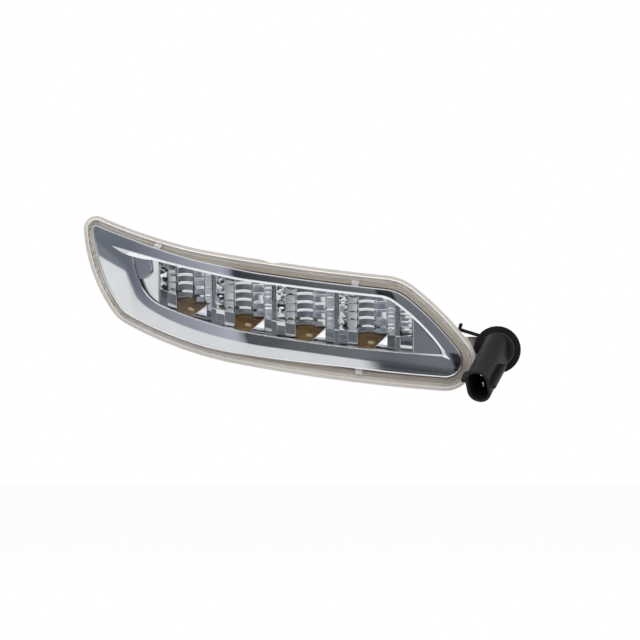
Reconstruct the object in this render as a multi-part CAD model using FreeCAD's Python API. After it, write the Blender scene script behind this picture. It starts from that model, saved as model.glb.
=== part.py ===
"""LED marker lamp: clear lens, chrome bezel, stepped reflector, sealed housing and angled plug socket.

Millimetres. The lens looks along -Y, Z is up, and the origin is the root of the locating pin on the back.
Every moulding is drawn along Y, and every skin of the lamp follows one sweep axis behind it.
"""
import FreeCAD, Part
import math
import os

V = FreeCAD.Vector
REAR = V(0, 1, 0)
FRONT = V(0, -1, 0)

# Outlines seen from the front: corner (x, z), bulge of the side that follows it, corner radius.
# A negative bulge is a hollow side, and a negative radius is a hollow corner.
LENS_OUTLINE = [
    ((-108.2, 53.0), -2.0, 6.9),
    ((-44.0, 30.6), -1.2, -133.0),
    ((67.0, 15.4), 5.2, 30.0),
    ((122.0, -49.2), 2.6, 16.7),
    ((-23.2, -32.5), 3.0, 170.0),
    ((-89.1, -7.8), 5.9, 20.5),
]
WINDOW_OUTLINE = [
    ((-80.8, 27.6), -0.5, 0.8),
    ((-21.5, 13.4), -0.4, -83.0),
    ((58.6, 3.8), 2.2, 15.7),
    ((90.5, -27.3), 1.8, 0.8),
    ((-22.9, -13.7), 1.3, 60.0),
    ((-71.0, 2.6), 1.7, 4.5),
]
LEAST_CORNER = 0.8

# Sweep of the lamp round the corner of the car
SWEEP_RADIUS = 560.0
SWEEP_SLANT = 11.0
APEX_X = 40.0
APEX_Z = -8.8
MOUNT_DEPTH = 54.0

# Lens
LENS_RISE = 8.0
LENS_CROWN = 260.0
LENS_THICK = 2.2
LENS_EDGE_ROUND = 2.0
LENS_WALL_INSET = 2.2
LENS_FOOT = 1.4
LENS_TONGUE = 0.9
NOTCH_X = -4.5
NOTCH_WIDTH = 5.0
NOTCH_DEPTH = 1.0

# Sealing groove
GROOVE_DEPTH = 2.6
GROOVE_PLAY = 0.2

# Housing
FLANGE_INSET = 1.1
FLANGE_THICK = 4.6
BODY_INSET = 4.4
CAVITY_INSET = 6.9
BODY_DEPTH = 30.0
BACK_THICK = 2.0
BODY_BACK_ROUND = 1.6
RIB_HEIGHT = 3.0
RIB_THICK = 1.6
RIB_INSET = 9.0
RIB_PITCH = 22.0
RIB_COUNT = 8
RIB_FIRST_X = -76.0

# Rear fixing: one locating pin and three screw bosses
PIN_DIA = 6.0
PIN_LENGTH = 8.0
PIN_BOSS_DIA = 12.0
BOSS_DIA = 10.0
BOSS_BORE = 4.2
BOSS_BORE_DEPTH = 14.0
BOSS_PLACES = [(-84.0, 22.0), (58.0, 6.0), (50.0, -28.0)]

# Bezel
BEZEL_INSET = 7.4
BEZEL_RISE = 5.0
BEZEL_CROWN = 150.0
BEZEL_THICK = 2.0
SKIRT_THICK = 2.0
SKIRT_DEPTH = 3.0
LIP_WIDTH = 1.3
LIP_RISE = 0.6
TAB_WIDTH = 4.0
TAB_THICK = 1.0
TAB_INSET = 4.7
TAB_REACH = 5.0
TAB_PLACES = [(-67.4, 33.3), (42.3, 11.6), (43.2, -36.6)]

# Reflector
CELL_LEFT = -66.0
CELL_WIDTHS = (31.0, 33.3, 34.3, 33.4)
LEFT_SHARES = (0.14, 0.16)
RIGHT_SHARES = (0.30, 0.19, 0.13)
GROOVE_SHARE = 0.08
COLUMN_FORWARD = (4.5, 2.0, 0.0, 0.0, 2.0, 4.0, 4.5)
LIP_OVERLAP = 2.2
REFLECTOR_PLAY = 0.2
FLOOR_DROP = 1.2
FLOOR_RISE = 7.2
FLOOR_DEPTH = 17.0
STEP_COUNT = 5
STEP_RISER = 2.9
STEP_RUN = 3.0
STEP_LIFT = 0.95
STEP_DISH = 0.25
REFLECTOR_WALL = 1.6
BASE_RISE = 1.5
END_SETBACK = 12.5
END_PROUD = 4.0
END_BOW = 1.6
LEFT_END_X = -85.0
RIGHT_END_X = 94.0
LED_WINDOW_FRONT = 3.0
LED_WINDOW_REAR = 15.5
LED_WINDOW_NARROW = 7.0
LED_WINDOW_WIDE = 15.0
EAR_THICK = 2.0
EAR_WIDTH = 5.8
EAR_OFFSET = 6.0
EAR_SETBACK = 2.0
LOWER_EARS = (-8.0, 48.0)
LEFT_EAR = (-88.5, 29.0)
LEFT_EAR_ROOT = (-76.5, 22.0)

# Lamp circuit under the reflector floor
FLEX_THICK = 0.8
FLEX_FRONT = 6.0
LED_WIDTH = 3.4
LED_DEPTH = 2.8
LED_HEIGHT = 0.9
LED_SETBACK = 13.2
LED_DOME = 1.1
SPREADER_THICK = 1.5
SPREADER_LEG = 9.0
SPREADER_CLEARANCE = 2.0
STAKE_DIA = 1.8
STAKE_HEAD = 0.7
STAKE_PLAY = 0.1
STAKE_DEPTHS = (8.5, 14.5)

# Small screws
SCREW_DIA = 2.6
SCREW_HEAD_DIA = 5.2
SCREW_HEAD = 1.8
SCREW_REACH = 4.0
SCREW_PLAY = 0.2

# Driver board on the back wall
BOARD_CENTRE_X = 34.0
BOARD_CENTRE_Z = -8.5
BOARD_LENGTH = 44.0
BOARD_WIDTH = 24.0
BOARD_THICK = 1.6
BOARD_GAP = 2.6
POST_DIA = 6.0
POST_MARGIN = 3.5
CHIP_SIDE = 8.0
CHIP_HEIGHT = 1.6
CHOKE_DIA = 8.0
CHOKE_HEIGHT = 3.4
CHOKE_FLANGE = 0.85
CHOKE_WAIST_DIA = 6.4
CAPACITOR_DIA = 6.0
CAPACITOR_HEIGHT = 3.8
PARTS_RISE = 3.0

# Socket turret at the right end of the housing
TURRET_X = 119.6
TURRET_Z = -24.6
TURRET_DIA = 21.0
TURRET_BORE = 17.0
TURRET_LENGTH = 16.0
TURRET_FLOOR = 2.0
NECK_TOP = -17.5
NECK_BOTTOM = -33.5
NECK_REACH = 108.2
NECK_SLOPE = 5.0
NECK_CLEARANCE = 1.2
DUCT_HEIGHT = 9.0

# Plug socket
CAP_FLANGE_DIA = 26.0
CAP_FLANGE_THICK = 3.0
CAP_SETBACK = 12.0
GASKET_THICK = 1.2
SPIGOT_PLAY = 0.2
SPIGOT_LENGTH = 3.0
HUB_DIA = 18.8
HUB_LENGTH = 9.0
SHROUD_SHIFT_X = -11.0
SHROUD_SHIFT_Z = -20.2
SHROUD_FORWARD = 31.0
SHROUD_WIDTH = 13.6
SHROUD_HEIGHT = 20.0
SHROUD_WALL = 1.5
SHROUD_CAVITY = 17.0
RAIL_WIDTH = 2.4
RAIL_HEIGHT = 3.2
RAIL_LENGTH = 22.0
KEY_SIZE = 2.2
KEY_LENGTH = 8.0
LATCH_LENGTH = 12.0
LATCH_THICK = 1.9
LATCH_ANGLE = 17.0
LATCH_NIB = 2.6
LATCH_OVERLAP = 3.0
LATCH_RISE = 10.5
TERMINAL_WIDTH = 2.8
TERMINAL_THICK = 0.8
TERMINAL_LENGTH = 14.0
TERMINAL_PITCH = 7.0
TERMINAL_ROOT = 5.0

# Inner leads
LEAD_DIA = 1.8
LEAD_PITCH = 4.0
LEAD_BEND = 3.0
LEAD_RISE_X = 72.0
LEAD_LANDING_Z = -12.0
LED_LEAD_X = 42.0
LED_LEAD_MARGIN = 1.1
LED_LEAD_RISE = 4.0

# Vent on the back
VENT_X = -20.0
VENT_Z = 8.0
VENT_TUBE_DIA = 6.0
VENT_TUBE_BORE = 3.0
VENT_TUBE_LENGTH = 7.0
VENT_CAP_DIA = 10.0
VENT_CAP_LENGTH = 8.0
VENT_CAP_STANDOFF = 1.0

# Extents that only need to clear the whole lamp
FRONT_MARGIN = 40.0
FAR_FRONT = -MOUNT_DEPTH - FRONT_MARGIN
DRAW_SPAN = 140.0
AXIS_SPAN = 260.0
CROWN_SPAN = 173.0
SWEEP_TURN = 60.0
OVERRUN = 1.0

SLANT = math.radians(SWEEP_SLANT)
SWEEP_AXIS = V(math.sin(SLANT), 0, math.cos(SLANT))
SWEEP_CENTRE = V(APEX_X, SWEEP_RADIUS - MOUNT_DEPTH, APEX_Z)


def side_circle(start, end, bulge):
    """Centre, radius and sign of the arc over a chord; the outside lies to the left of travel."""
    chord = end - start
    outward = V(-chord.z, 0, chord.x).normalize()
    radius = (chord.Length ** 2 / 4 + bulge ** 2) / (2 * abs(bulge))
    sign = math.copysign(1.0, bulge)
    centre = (start + end) * 0.5 + outward * (bulge - sign * radius)
    return centre, radius, sign


def circles_meet(centre_a, radius_a, centre_b, radius_b, near):
    """The crossing of two circles that lies nearer to a point."""
    gap = centre_b - centre_a
    along = (radius_a ** 2 - radius_b ** 2 + gap.Length ** 2) / (2 * gap.Length)
    aside = math.sqrt(radius_a ** 2 - along ** 2)
    unit = V(gap).normalize()
    normal = V(-unit.z, 0, unit.x)
    crossings = [centre_a + unit * along + normal * (aside * turn) for turn in (1, -1)]
    return min(crossings, key=lambda point: point.distanceToPoint(near))


def on_circle(centre, radius, toward):
    return centre + (toward - centre).normalize() * radius


def outline_wire(outline, inset, y):
    """Closed wire of arcs: each side and corner of the outline, moved inwards by the inset."""
    corners = [V(x, y, z) for (x, z), bulge, radius in outline]
    count = len(corners)
    sides = []
    for i, (place, bulge, radius) in enumerate(outline):
        centre, side_radius, sign = side_circle(corners[i], corners[(i + 1) % count], bulge)
        sides.append((centre, side_radius - sign * inset, sign))
    rounds = []
    for i, (place, bulge, radius) in enumerate(outline):
        turn = radius - inset
        if radius > 0:
            turn = max(turn, LEAST_CORNER)
        before, radius_before, sign_before = sides[i - 1]
        after, radius_after, sign_after = sides[i]
        middle = circles_meet(before, radius_before - sign_before * turn,
                              after, radius_after - sign_after * turn, corners[i])
        first = on_circle(before, radius_before, middle)
        last = on_circle(after, radius_after, middle)
        half = on_circle(middle, abs(turn), (first + last) * 0.5)
        rounds.append((first, half, last))
    edges = []
    for i in range(count):
        first, half, last = rounds[i]
        following = rounds[(i + 1) % count][0]
        centre, radius, sign = sides[i]
        edges.append(Part.Arc(first, half, last).toShape())
        top = on_circle(centre, radius, (last + following) * 0.5)
        edges.append(Part.Arc(last, top, following).toShape())
    return Part.Wire(edges)


def outline_prism(outline, inset):
    face = Part.Face(outline_wire(outline, inset, FAR_FRONT))
    return face.extrude(REAR * DRAW_SPAN)


def outline_ring(outline, outer_inset, inner_inset):
    return outline_prism(outline, outer_inset).cut(outline_prism(outline, inner_inset))


def behind(height):
    """All that lies behind the swept skin at a height above the rim."""
    foot = SWEEP_CENTRE - SWEEP_AXIS * (AXIS_SPAN / 2)
    return Part.makeCylinder(SWEEP_RADIUS + height, AXIS_SPAN, foot, SWEEP_AXIS)


def behind_crown(height, crown):
    """As behind, with the skin also crowned across the sweep by its own radius."""
    half = CROWN_SPAN / 2
    drop = crown - math.sqrt(crown ** 2 - half ** 2)
    top = SWEEP_RADIUS + height

    def place(radial, axial):
        return SWEEP_CENTRE + FRONT * radial + SWEEP_AXIS * axial

    low = place(top - drop, -half)
    high = place(top - drop, half)
    inner_low = place(SWEEP_RADIUS - DRAW_SPAN, -half)
    inner_high = place(SWEEP_RADIUS - DRAW_SPAN, half)
    edges = [
        Part.Arc(low, place(top, 0), high).toShape(),
        Part.makeLine(high, inner_high),
        Part.makeLine(inner_high, inner_low),
        Part.makeLine(inner_low, low),
    ]
    face = Part.Face(Part.Wire(edges))
    face.rotate(SWEEP_CENTRE, SWEEP_AXIS, -SWEEP_TURN / 2)
    return face.revolve(SWEEP_CENTRE, SWEEP_AXIS, SWEEP_TURN)


def layer(solid, low, high):
    """The slice of a solid between two heights above the rim."""
    return solid.common(behind(high)).cut(behind(low))


def rim_y(x, z):
    """Depth of the rim skin at a place seen from the front."""
    across = (x - APEX_X) * math.cos(SLANT) - (z - APEX_Z) * math.sin(SLANT)
    return SWEEP_CENTRE.y - math.sqrt(SWEEP_RADIUS ** 2 - across ** 2)


def rod(x, z, diameter, y_start, y_end):
    return Part.makeCylinder(diameter / 2, y_end - y_start, V(x, y_start, z), REAR)


def block(x0, x1, y0, y1, z0, z1):
    return Part.makeBox(x1 - x0, y1 - y0, z1 - z0, V(x0, y0, z0))


def fused(shapes):
    whole = shapes[0].multiFuse(shapes[1:])
    return whole.removeSplitter()


def window_edge(x, side):
    """Height of the window's lower (-1) or upper (1) edge at x."""
    centre = APEX_Z - (x - APEX_X) * math.tan(SLANT)
    line = Part.makeLine(V(x, 0, centre), V(x, 0, centre + side * AXIS_SPAN))
    return WINDOW_WIRE.distToShape(line)[1][0][0].z


LENS_WIRE = outline_wire(LENS_OUTLINE, 0, 0)
WINDOW_WIRE = outline_wire(WINDOW_OUTLINE, 0, 0)
WINDOW = outline_prism(WINDOW_OUTLINE, 0)
LENS_INNER_INSET = LENS_WALL_INSET + LENS_THICK


def outer_lens():
    body = outline_prism(LENS_OUTLINE, LENS_WALL_INSET).common(behind_crown(LENS_RISE, LENS_CROWN))
    body = body.cut(behind(-LENS_TONGUE))
    front = [face for face in body.Faces if isinstance(face.Surface, Part.Toroid)]
    body = body.makeFillet(LENS_EDGE_ROUND, front[0].Edges)
    hollow = outline_prism(LENS_OUTLINE, LENS_INNER_INSET)
    hollow = hollow.common(behind_crown(LENS_RISE - LENS_THICK, LENS_CROWN - LENS_THICK))
    foot = layer(outline_ring(LENS_OUTLINE, 0, LENS_WALL_INSET + LENS_THICK / 2), 0, LENS_FOOT)
    top = LENS_WIRE.distToShape(Part.makeLine(V(NOTCH_X, 0, 0), V(NOTCH_X, 0, AXIS_SPAN)))[1][0][0].z
    notch = block(NOTCH_X - NOTCH_WIDTH / 2, NOTCH_X + NOTCH_WIDTH / 2, FAR_FRONT, FAR_FRONT + DRAW_SPAN,
                  top - NOTCH_DEPTH, top + NOTCH_DEPTH)
    return fused([body.cut(hollow), foot.cut(notch)])


def groove_ring():
    return outline_ring(LENS_OUTLINE, LENS_WALL_INSET - GROOVE_PLAY, LENS_INNER_INSET + GROOVE_PLAY)


def lens_sealant():
    return layer(groove_ring(), -GROOVE_DEPTH, -LENS_TONGUE)


def cell_corners():
    """Foot points of the reflector cells along the window's lower edge, left to right."""
    points = []
    x = CELL_LEFT
    for width in CELL_WIDTHS + (0,):
        z = window_edge(x, -1)
        points.append(V(x, rim_y(x, z) - BASE_RISE, z))
        x += width
    return points


CELL_CORNERS = cell_corners()
FLOOR_SLOPE = math.atan2(FLOOR_RISE, FLOOR_DEPTH)
FLOOR_NORMAL = V(0, -math.sin(FLOOR_SLOPE), math.cos(FLOOR_SLOPE))


def floor_height(setback):
    """Height of the floor above the lip at a distance behind it."""
    return setback * math.tan(FLOOR_SLOPE) - FLOOR_DROP


def line_through(points):
    return [Part.makeLine(V(0, *a), V(0, *b)) for a, b in zip(points, points[1:])]


def column_face(stepped):
    """Section of one reflector column: sloped floor, then a wall that climbs forward in dished steps."""
    foot = (FLOOR_DEPTH, floor_height(FLOOR_DEPTH))
    edges = line_through([(0, -FLOOR_DROP), foot])
    step_height = STEP_RISER + STEP_LIFT
    head = (FLOOR_DEPTH - STEP_COUNT * STEP_RUN, foot[1] + STEP_COUNT * step_height)
    if stepped:
        for i in range(STEP_COUNT):
            y = FLOOR_DEPTH - i * STEP_RUN
            z = foot[1] + i * step_height
            riser = Part.Arc(V(0, y, z), V(0, y + STEP_DISH, z + STEP_RISER / 2), V(0, y, z + STEP_RISER))
            edges.append(riser.toShape())
            edges += line_through([(y, z + STEP_RISER), (y - STEP_RUN, z + step_height)])
    else:
        edges += line_through([foot, head])
    reach = math.hypot(step_height, STEP_RUN)
    back_y = REFLECTOR_WALL * step_height / reach
    back_z = REFLECTOR_WALL * STEP_RUN / reach
    top = (head[0], head[1] + STEP_RISER)
    back_top = (head[0] + back_y, top[1] + back_z)
    back_low = (FLOOR_DEPTH + back_y, foot[1] + STEP_RISER + back_z)
    under = REFLECTOR_WALL / math.cos(FLOOR_SLOPE)
    back_foot = (back_low[0], floor_height(back_low[0]) - under)
    lip_under = (0, -FLOOR_DROP - under)
    edges += line_through([head, top, back_top, back_low, back_foot, lip_under, (0, -FLOOR_DROP)])
    return Part.Face(Part.Wire(edges))


def column(face, start, run, forward_start, forward_end):
    """The section drawn sideways along a run, slanting forward from one offset to the other."""
    moved = face.translated(start + FRONT * forward_start)
    return moved.extrude(run + FRONT * (forward_end - forward_start))


def led_place(index):
    """Left rear corner of a cell's lamp window, on the floor."""
    run = CELL_CORNERS[index + 1] - CELL_CORNERS[index]
    return CELL_CORNERS[index] + run * sum(LEFT_SHARES)


def led_window(index):
    """Trapezoid hole in a cell's floor, wide at the back, drawn upwards."""
    corner = led_place(index)
    slope = (CELL_CORNERS[index + 1] - CELL_CORNERS[index]) * (1 / CELL_WIDTHS[index])
    low = V(0, 0, -2 * REFLECTOR_WALL - FLOOR_DROP)
    rim = [
        corner + V(0, LED_WINDOW_FRONT, 0),
        corner + slope * LED_WINDOW_NARROW + V(0, LED_WINDOW_FRONT, 0),
        corner + slope * LED_WINDOW_WIDE + V(0, LED_WINDOW_REAR, 0),
        corner + V(0, LED_WINDOW_REAR, 0),
    ]
    face = Part.Face(Part.makePolygon([point + low for point in rim + rim[:1]]))
    return face.extrude(V(0, 0, floor_height(FLOOR_DEPTH) + STEP_RISER) - low)


def stake_places():
    """Centres of the stakes on the upper face of the lamp circuit, two to a cell."""
    places = []
    for i in range(len(CELL_WIDTHS)):
        run = CELL_CORNERS[i + 1] - CELL_CORNERS[i]
        left = led_place(i) - run * (STAKE_DIA / CELL_WIDTHS[i])
        for depth in STAKE_DEPTHS:
            under = floor_height(depth) - REFLECTOR_WALL / math.cos(FLOOR_SLOPE)
            places.append(left + V(0, depth, under))
    return places


def stake(place, above, below, diameter):
    return Part.makeCylinder(diameter / 2, above + below, place + FLOOR_NORMAL * above, FLOOR_NORMAL * -1)


def ear_places():
    """Centres of the reflector's fixing ears, their roots on the reflector and the depth of their seats."""
    pairs = [(LEFT_EAR, LEFT_EAR_ROOT)]
    for x in LOWER_EARS:
        edge = window_edge(x, -1)
        pairs.append(((x, edge - EAR_OFFSET), (x, edge + REFLECTOR_WALL / 4)))
    return [(place, root, rim_y(*place) + EAR_SETBACK) for place, root in pairs]


def ear(place, root, seat):
    """Flat bar from the reflector to a round eye, square to the draw."""
    start = V(root[0], seat, root[1])
    end = V(place[0], seat, place[1])
    aside = (end - start).cross(REAR).normalize() * (EAR_WIDTH / 2)
    bar = Part.Face(Part.makePolygon([start - aside, end - aside, end + aside, start + aside, start - aside]))
    return bar.extrude(REAR * EAR_THICK).fuse(rod(*place, EAR_WIDTH, seat, seat + EAR_THICK))


def end_wall(cell_corner, end_x):
    """Smooth bowed wall from the lip at one end of the window back to the nearest cell."""
    lip_z = APEX_Z - (end_x - APEX_X) * math.tan(SLANT)
    lip = V(end_x, rim_y(end_x, lip_z) - END_PROUD, 0)
    deep = V(cell_corner.x, cell_corner.y + END_SETBACK, 0)
    bow = V(0, END_BOW, 0)
    wall = V(0, REFLECTOR_WALL / abs((deep - lip).normalize().x), 0)
    foot = V(0, 0, -AXIS_SPAN / 2)
    inner = Part.Arc(lip + foot, (lip + deep) * 0.5 + bow + foot, deep + foot).toShape()
    outer = Part.Arc(deep + wall + foot, (lip + deep) * 0.5 + bow + wall + foot, lip + wall + foot).toShape()
    sides = [Part.makeLine(deep + foot, deep + wall + foot), Part.makeLine(lip + wall + foot, lip + foot)]
    return Part.Face(Part.Wire([inner, sides[0], outer, sides[1]])).extrude(V(0, 0, AXIS_SPAN))


def reflector():
    stepped = column_face(True)
    plain = column_face(False)
    columns = []
    for i, width in enumerate(CELL_WIDTHS):
        run = CELL_CORNERS[i + 1] - CELL_CORNERS[i]
        done = 0.0
        for j, share in enumerate(LEFT_SHARES + RIGHT_SHARES + (GROOVE_SHARE,)):
            face = plain if share is GROOVE_SHARE else stepped
            columns.append(column(face, CELL_CORNERS[i] + run * done, run * share,
                                  COLUMN_FORWARD[j], COLUMN_FORWARD[j + 1]))
            done += share
    columns.append(end_wall(CELL_CORNERS[0], LEFT_END_X))
    columns.append(end_wall(CELL_CORNERS[-1], RIGHT_END_X))
    body = fused(columns).common(outline_prism(WINDOW_OUTLINE, -LIP_OVERLAP))
    body = body.common(behind_crown(BEZEL_RISE - BEZEL_THICK - REFLECTOR_PLAY, BEZEL_CROWN - BEZEL_THICK))
    for i in range(len(CELL_WIDTHS)):
        body = body.cut(led_window(i))
    parts = [body]
    parts += [ear(*spot) for spot in ear_places()]
    for place in stake_places():
        parts.append(stake(place, REFLECTOR_WALL / 2, FLEX_THICK + SPREADER_THICK + STAKE_HEAD, STAKE_DIA))
    whole = fused(parts)
    for place, root, seat in ear_places():
        whole = whole.cut(rod(*place, SCREW_DIA + SCREW_PLAY, seat - EAR_THICK, seat + 2 * EAR_THICK))
    return whole


def strip(points):
    """A section drawn along all the cells, turning where one cell meets the next."""
    face = Part.Face(Part.makePolygon([V(0, y, z) for y, z in points + points[:1]]))
    spans = []
    for start, end in zip(CELL_CORNERS, CELL_CORNERS[1:]):
        spans.append(face.translated(start).extrude(end - start))
    whole = fused(spans)
    for place in stake_places():
        hole = stake(place, REFLECTOR_WALL, FLEX_THICK + 2 * SPREADER_THICK, STAKE_DIA + 2 * STAKE_PLAY)
        whole = whole.cut(hole)
    return whole


def under_floor(setback, depth):
    """Point at a depth below the floor's lower face."""
    return setback, floor_height(setback) - (REFLECTOR_WALL + depth) / math.cos(FLOOR_SLOPE)


def board_foot_y():
    """Depth of the reflector's lip over the end of the driver board where it lies furthest back."""
    ends = [BOARD_CENTRE_X + side * BOARD_LENGTH / 2 for side in (-1, 1)]
    return max(rim_y(x, window_edge(x, -1)) for x in ends) - BASE_RISE


BACK_INNER_Y = rim_y(BOARD_CENTRE_X, BOARD_CENTRE_Z) + BODY_DEPTH - BACK_THICK
BOARD_BACK_Y = BACK_INNER_Y - BOARD_GAP
BOARD_FRONT_Y = BOARD_BACK_Y - BOARD_THICK
PARTS_Z = BOARD_CENTRE_Z + PARTS_RISE
FLEX_REAR = BOARD_FRONT_Y - SCREW_HEAD - SPREADER_CLEARANCE - board_foot_y()


def flex_circuit():
    return strip([under_floor(FLEX_FRONT, 0), under_floor(FLEX_REAR, 0),
                  under_floor(FLEX_REAR, FLEX_THICK), under_floor(FLEX_FRONT, FLEX_THICK)])


def heat_spreader():
    deep = FLEX_THICK + SPREADER_THICK
    front, front_z = under_floor(FLEX_FRONT, deep)
    return strip([under_floor(FLEX_FRONT, FLEX_THICK), under_floor(FLEX_REAR, FLEX_THICK),
                  (FLEX_REAR, under_floor(FLEX_REAR, deep)[1] - SPREADER_LEG),
                  (FLEX_REAR - SPREADER_THICK, under_floor(FLEX_REAR, deep)[1] - SPREADER_LEG),
                  under_floor(FLEX_REAR - SPREADER_THICK, deep), (front, front_z)])


def led(index):
    """Lamp chip standing square on the circuit, with a shallow dome."""
    run = CELL_CORNERS[index + 1] - CELL_CORNERS[index]
    across = V(run).normalize()
    foot = led_place(index) + run * (LED_WINDOW_WIDE / 2 / CELL_WIDTHS[index])
    foot = foot + V(0, *under_floor(LED_SETBACK, 0))
    up = across.cross(V(0, math.cos(FLOOR_SLOPE), math.sin(FLOOR_SLOPE))).normalize()
    back = up.cross(across)
    turn = FreeCAD.Rotation(across, back, up, "ZXY")
    body = Part.makeBox(LED_WIDTH, LED_DEPTH, LED_HEIGHT, V(-LED_WIDTH / 2, -LED_DEPTH / 2, 0))
    dome = Part.makeSphere(LED_DOME, V(0, 0, LED_HEIGHT - LED_DOME / 3))
    above = Part.makeBox(LED_WIDTH, LED_DEPTH, LED_DOME, V(-LED_WIDTH / 2, -LED_DEPTH / 2, LED_HEIGHT / 2))
    dome = dome.common(above)
    chip = body.fuse(dome).removeSplitter()
    chip.Placement = FreeCAD.Placement(foot, turn)
    return chip


def tab_prism(x, z):
    """A strip square to the rim through a place on it."""
    near = LENS_WIRE.distToShape(Part.Vertex(V(x, 0, z)))[1][0][0]
    inward = (V(x, 0, z) - near).normalize()
    along = V(-inward.z, 0, inward.x)
    start = near + inward * TAB_INSET
    reach = BEZEL_INSET - TAB_INSET + TAB_REACH
    aside = along * (TAB_WIDTH / 2)
    corners = [start - aside, start + aside, start + aside + inward * reach, start - aside + inward * reach]
    corners = [V(point.x, FAR_FRONT, point.z) for point in corners]
    return Part.Face(Part.makePolygon(corners + corners[:1])).extrude(REAR * DRAW_SPAN)


def bezel():
    front = behind_crown(BEZEL_RISE, BEZEL_CROWN)
    back = behind_crown(BEZEL_RISE - BEZEL_THICK, BEZEL_CROWN - BEZEL_THICK)
    plate = outline_prism(LENS_OUTLINE, BEZEL_INSET).common(front).cut(back)
    skirt = outline_ring(LENS_OUTLINE, BEZEL_INSET, BEZEL_INSET + SKIRT_THICK)
    skirt = skirt.common(front).cut(behind(-SKIRT_DEPTH))
    lip = outline_prism(WINDOW_OUTLINE, -LIP_WIDTH)
    lip = lip.common(behind_crown(BEZEL_RISE + LIP_RISE, BEZEL_CROWN + LIP_RISE))
    parts = [plate, skirt, lip.cut(back)]
    parts += [layer(tab_prism(x, z), 0, TAB_THICK) for x, z in TAB_PLACES]
    inside = behind_crown(BEZEL_RISE - BEZEL_THICK / 2, BEZEL_CROWN - BEZEL_THICK / 2)
    for place, root, seat in ear_places():
        parts.append(rod(*place, EAR_WIDTH, FAR_FRONT, seat).common(inside))
    whole = fused(parts).cut(WINDOW)
    for place, root, seat in ear_places():
        whole = whole.cut(rod(*place, SCREW_DIA, seat - SCREW_REACH, seat))
    return whole


def screw(x, z, seat, grip, toward):
    """Pan-head screw whose head bears on a seat; toward is the way its point faces."""
    shank_end = seat + toward * grip
    head_end = seat - toward * SCREW_HEAD
    shank = rod(x, z, SCREW_DIA, min(seat, shank_end), max(seat, shank_end))
    head = rod(x, z, SCREW_HEAD_DIA, min(seat, head_end), max(seat, head_end))
    rim = [edge for edge in head.Edges if abs(edge.BoundBox.YMin - head_end) < 1e-6
           and abs(edge.BoundBox.YMax - head_end) < 1e-6]
    head = head.makeChamfer(SCREW_HEAD / 2, rim)
    slot_start = min(head_end, head_end + toward * SCREW_HEAD / 2)
    slot = block(x - SCREW_HEAD_DIA, x + SCREW_HEAD_DIA, slot_start, slot_start + SCREW_HEAD / 2,
                 z - SCREW_HEAD / 4, z + SCREW_HEAD / 4)
    return head.fuse(shank).removeSplitter().cut(slot)


def reflector_screws():
    screws = []
    for place, root, seat in ear_places():
        screws.append(screw(*place, seat + EAR_THICK, EAR_THICK + SCREW_REACH, -1))
    return Part.makeCompound(screws)


def post_places():
    half_x = BOARD_LENGTH / 2 - POST_MARGIN
    half_z = BOARD_WIDTH / 2 - POST_MARGIN
    return [(BOARD_CENTRE_X + sx * half_x, BOARD_CENTRE_Z + sz * half_z) for sx in (-1, 1) for sz in (-1, 1)]


def driver_board():
    board = block(BOARD_CENTRE_X - BOARD_LENGTH / 2, BOARD_CENTRE_X + BOARD_LENGTH / 2,
                  BOARD_FRONT_Y, BOARD_BACK_Y,
                  BOARD_CENTRE_Z - BOARD_WIDTH / 2, BOARD_CENTRE_Z + BOARD_WIDTH / 2)
    for x, z in post_places():
        board = board.cut(rod(x, z, SCREW_DIA + SCREW_PLAY, BOARD_FRONT_Y - OVERRUN, BOARD_BACK_Y + OVERRUN))
    return board


def board_screws():
    grip = BOARD_THICK + BOARD_GAP
    return Part.makeCompound([screw(x, z, BOARD_FRONT_Y, grip, 1) for x, z in post_places()])


def driver_chip():
    half = CHIP_SIDE / 2
    chip = block(BOARD_CENTRE_X - half, BOARD_CENTRE_X + half, BOARD_FRONT_Y - CHIP_HEIGHT, BOARD_FRONT_Y,
                 PARTS_Z - half, PARTS_Z + half)
    upright = [edge for edge in chip.Edges if edge.BoundBox.YLength > CHIP_HEIGHT / 2]
    return chip.makeChamfer(CHIP_HEIGHT / 5, upright)


def driver_choke():
    x = BOARD_CENTRE_X - BOARD_LENGTH / 4
    core = rod(x, PARTS_Z, CHOKE_DIA, BOARD_FRONT_Y - CHOKE_HEIGHT, BOARD_FRONT_Y)
    waist = rod(x, PARTS_Z, CHOKE_DIA + OVERRUN,
                BOARD_FRONT_Y - CHOKE_HEIGHT + CHOKE_FLANGE, BOARD_FRONT_Y - CHOKE_FLANGE)
    return core.cut(waist.cut(rod(x, PARTS_Z, CHOKE_WAIST_DIA, FAR_FRONT, 0)))


def driver_capacitor():
    x = BOARD_CENTRE_X + BOARD_LENGTH / 4
    can = rod(x, PARTS_Z, CAPACITOR_DIA, BOARD_FRONT_Y - CAPACITOR_HEIGHT, BOARD_FRONT_Y)
    return can.makeChamfer(CAPACITOR_HEIGHT / 10, can.Edges[:1])


# Depths of the socket stack, front to back
RIM_END_Y = rim_y(NECK_REACH, TURRET_Z)
CAP_FRONT_Y = RIM_END_Y + CAP_SETBACK - FLANGE_THICK
CAP_BACK_Y = CAP_FRONT_Y + CAP_FLANGE_THICK
TURRET_FRONT_Y = CAP_BACK_Y + GASKET_THICK
TURRET_BACK_Y = TURRET_FRONT_Y + TURRET_LENGTH
SHROUD_SHIFT = V(SHROUD_SHIFT_X, -SHROUD_FORWARD, SHROUD_SHIFT_Z)
SHROUD_ROOT = V(TURRET_X, CAP_FRONT_Y - HUB_LENGTH / 2, TURRET_Z)
SHROUD_TURN = FreeCAD.Rotation(V(0, 0, 1).cross(SHROUD_SHIFT), V(0, 0, 1), SHROUD_SHIFT, "ZYX")


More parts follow.
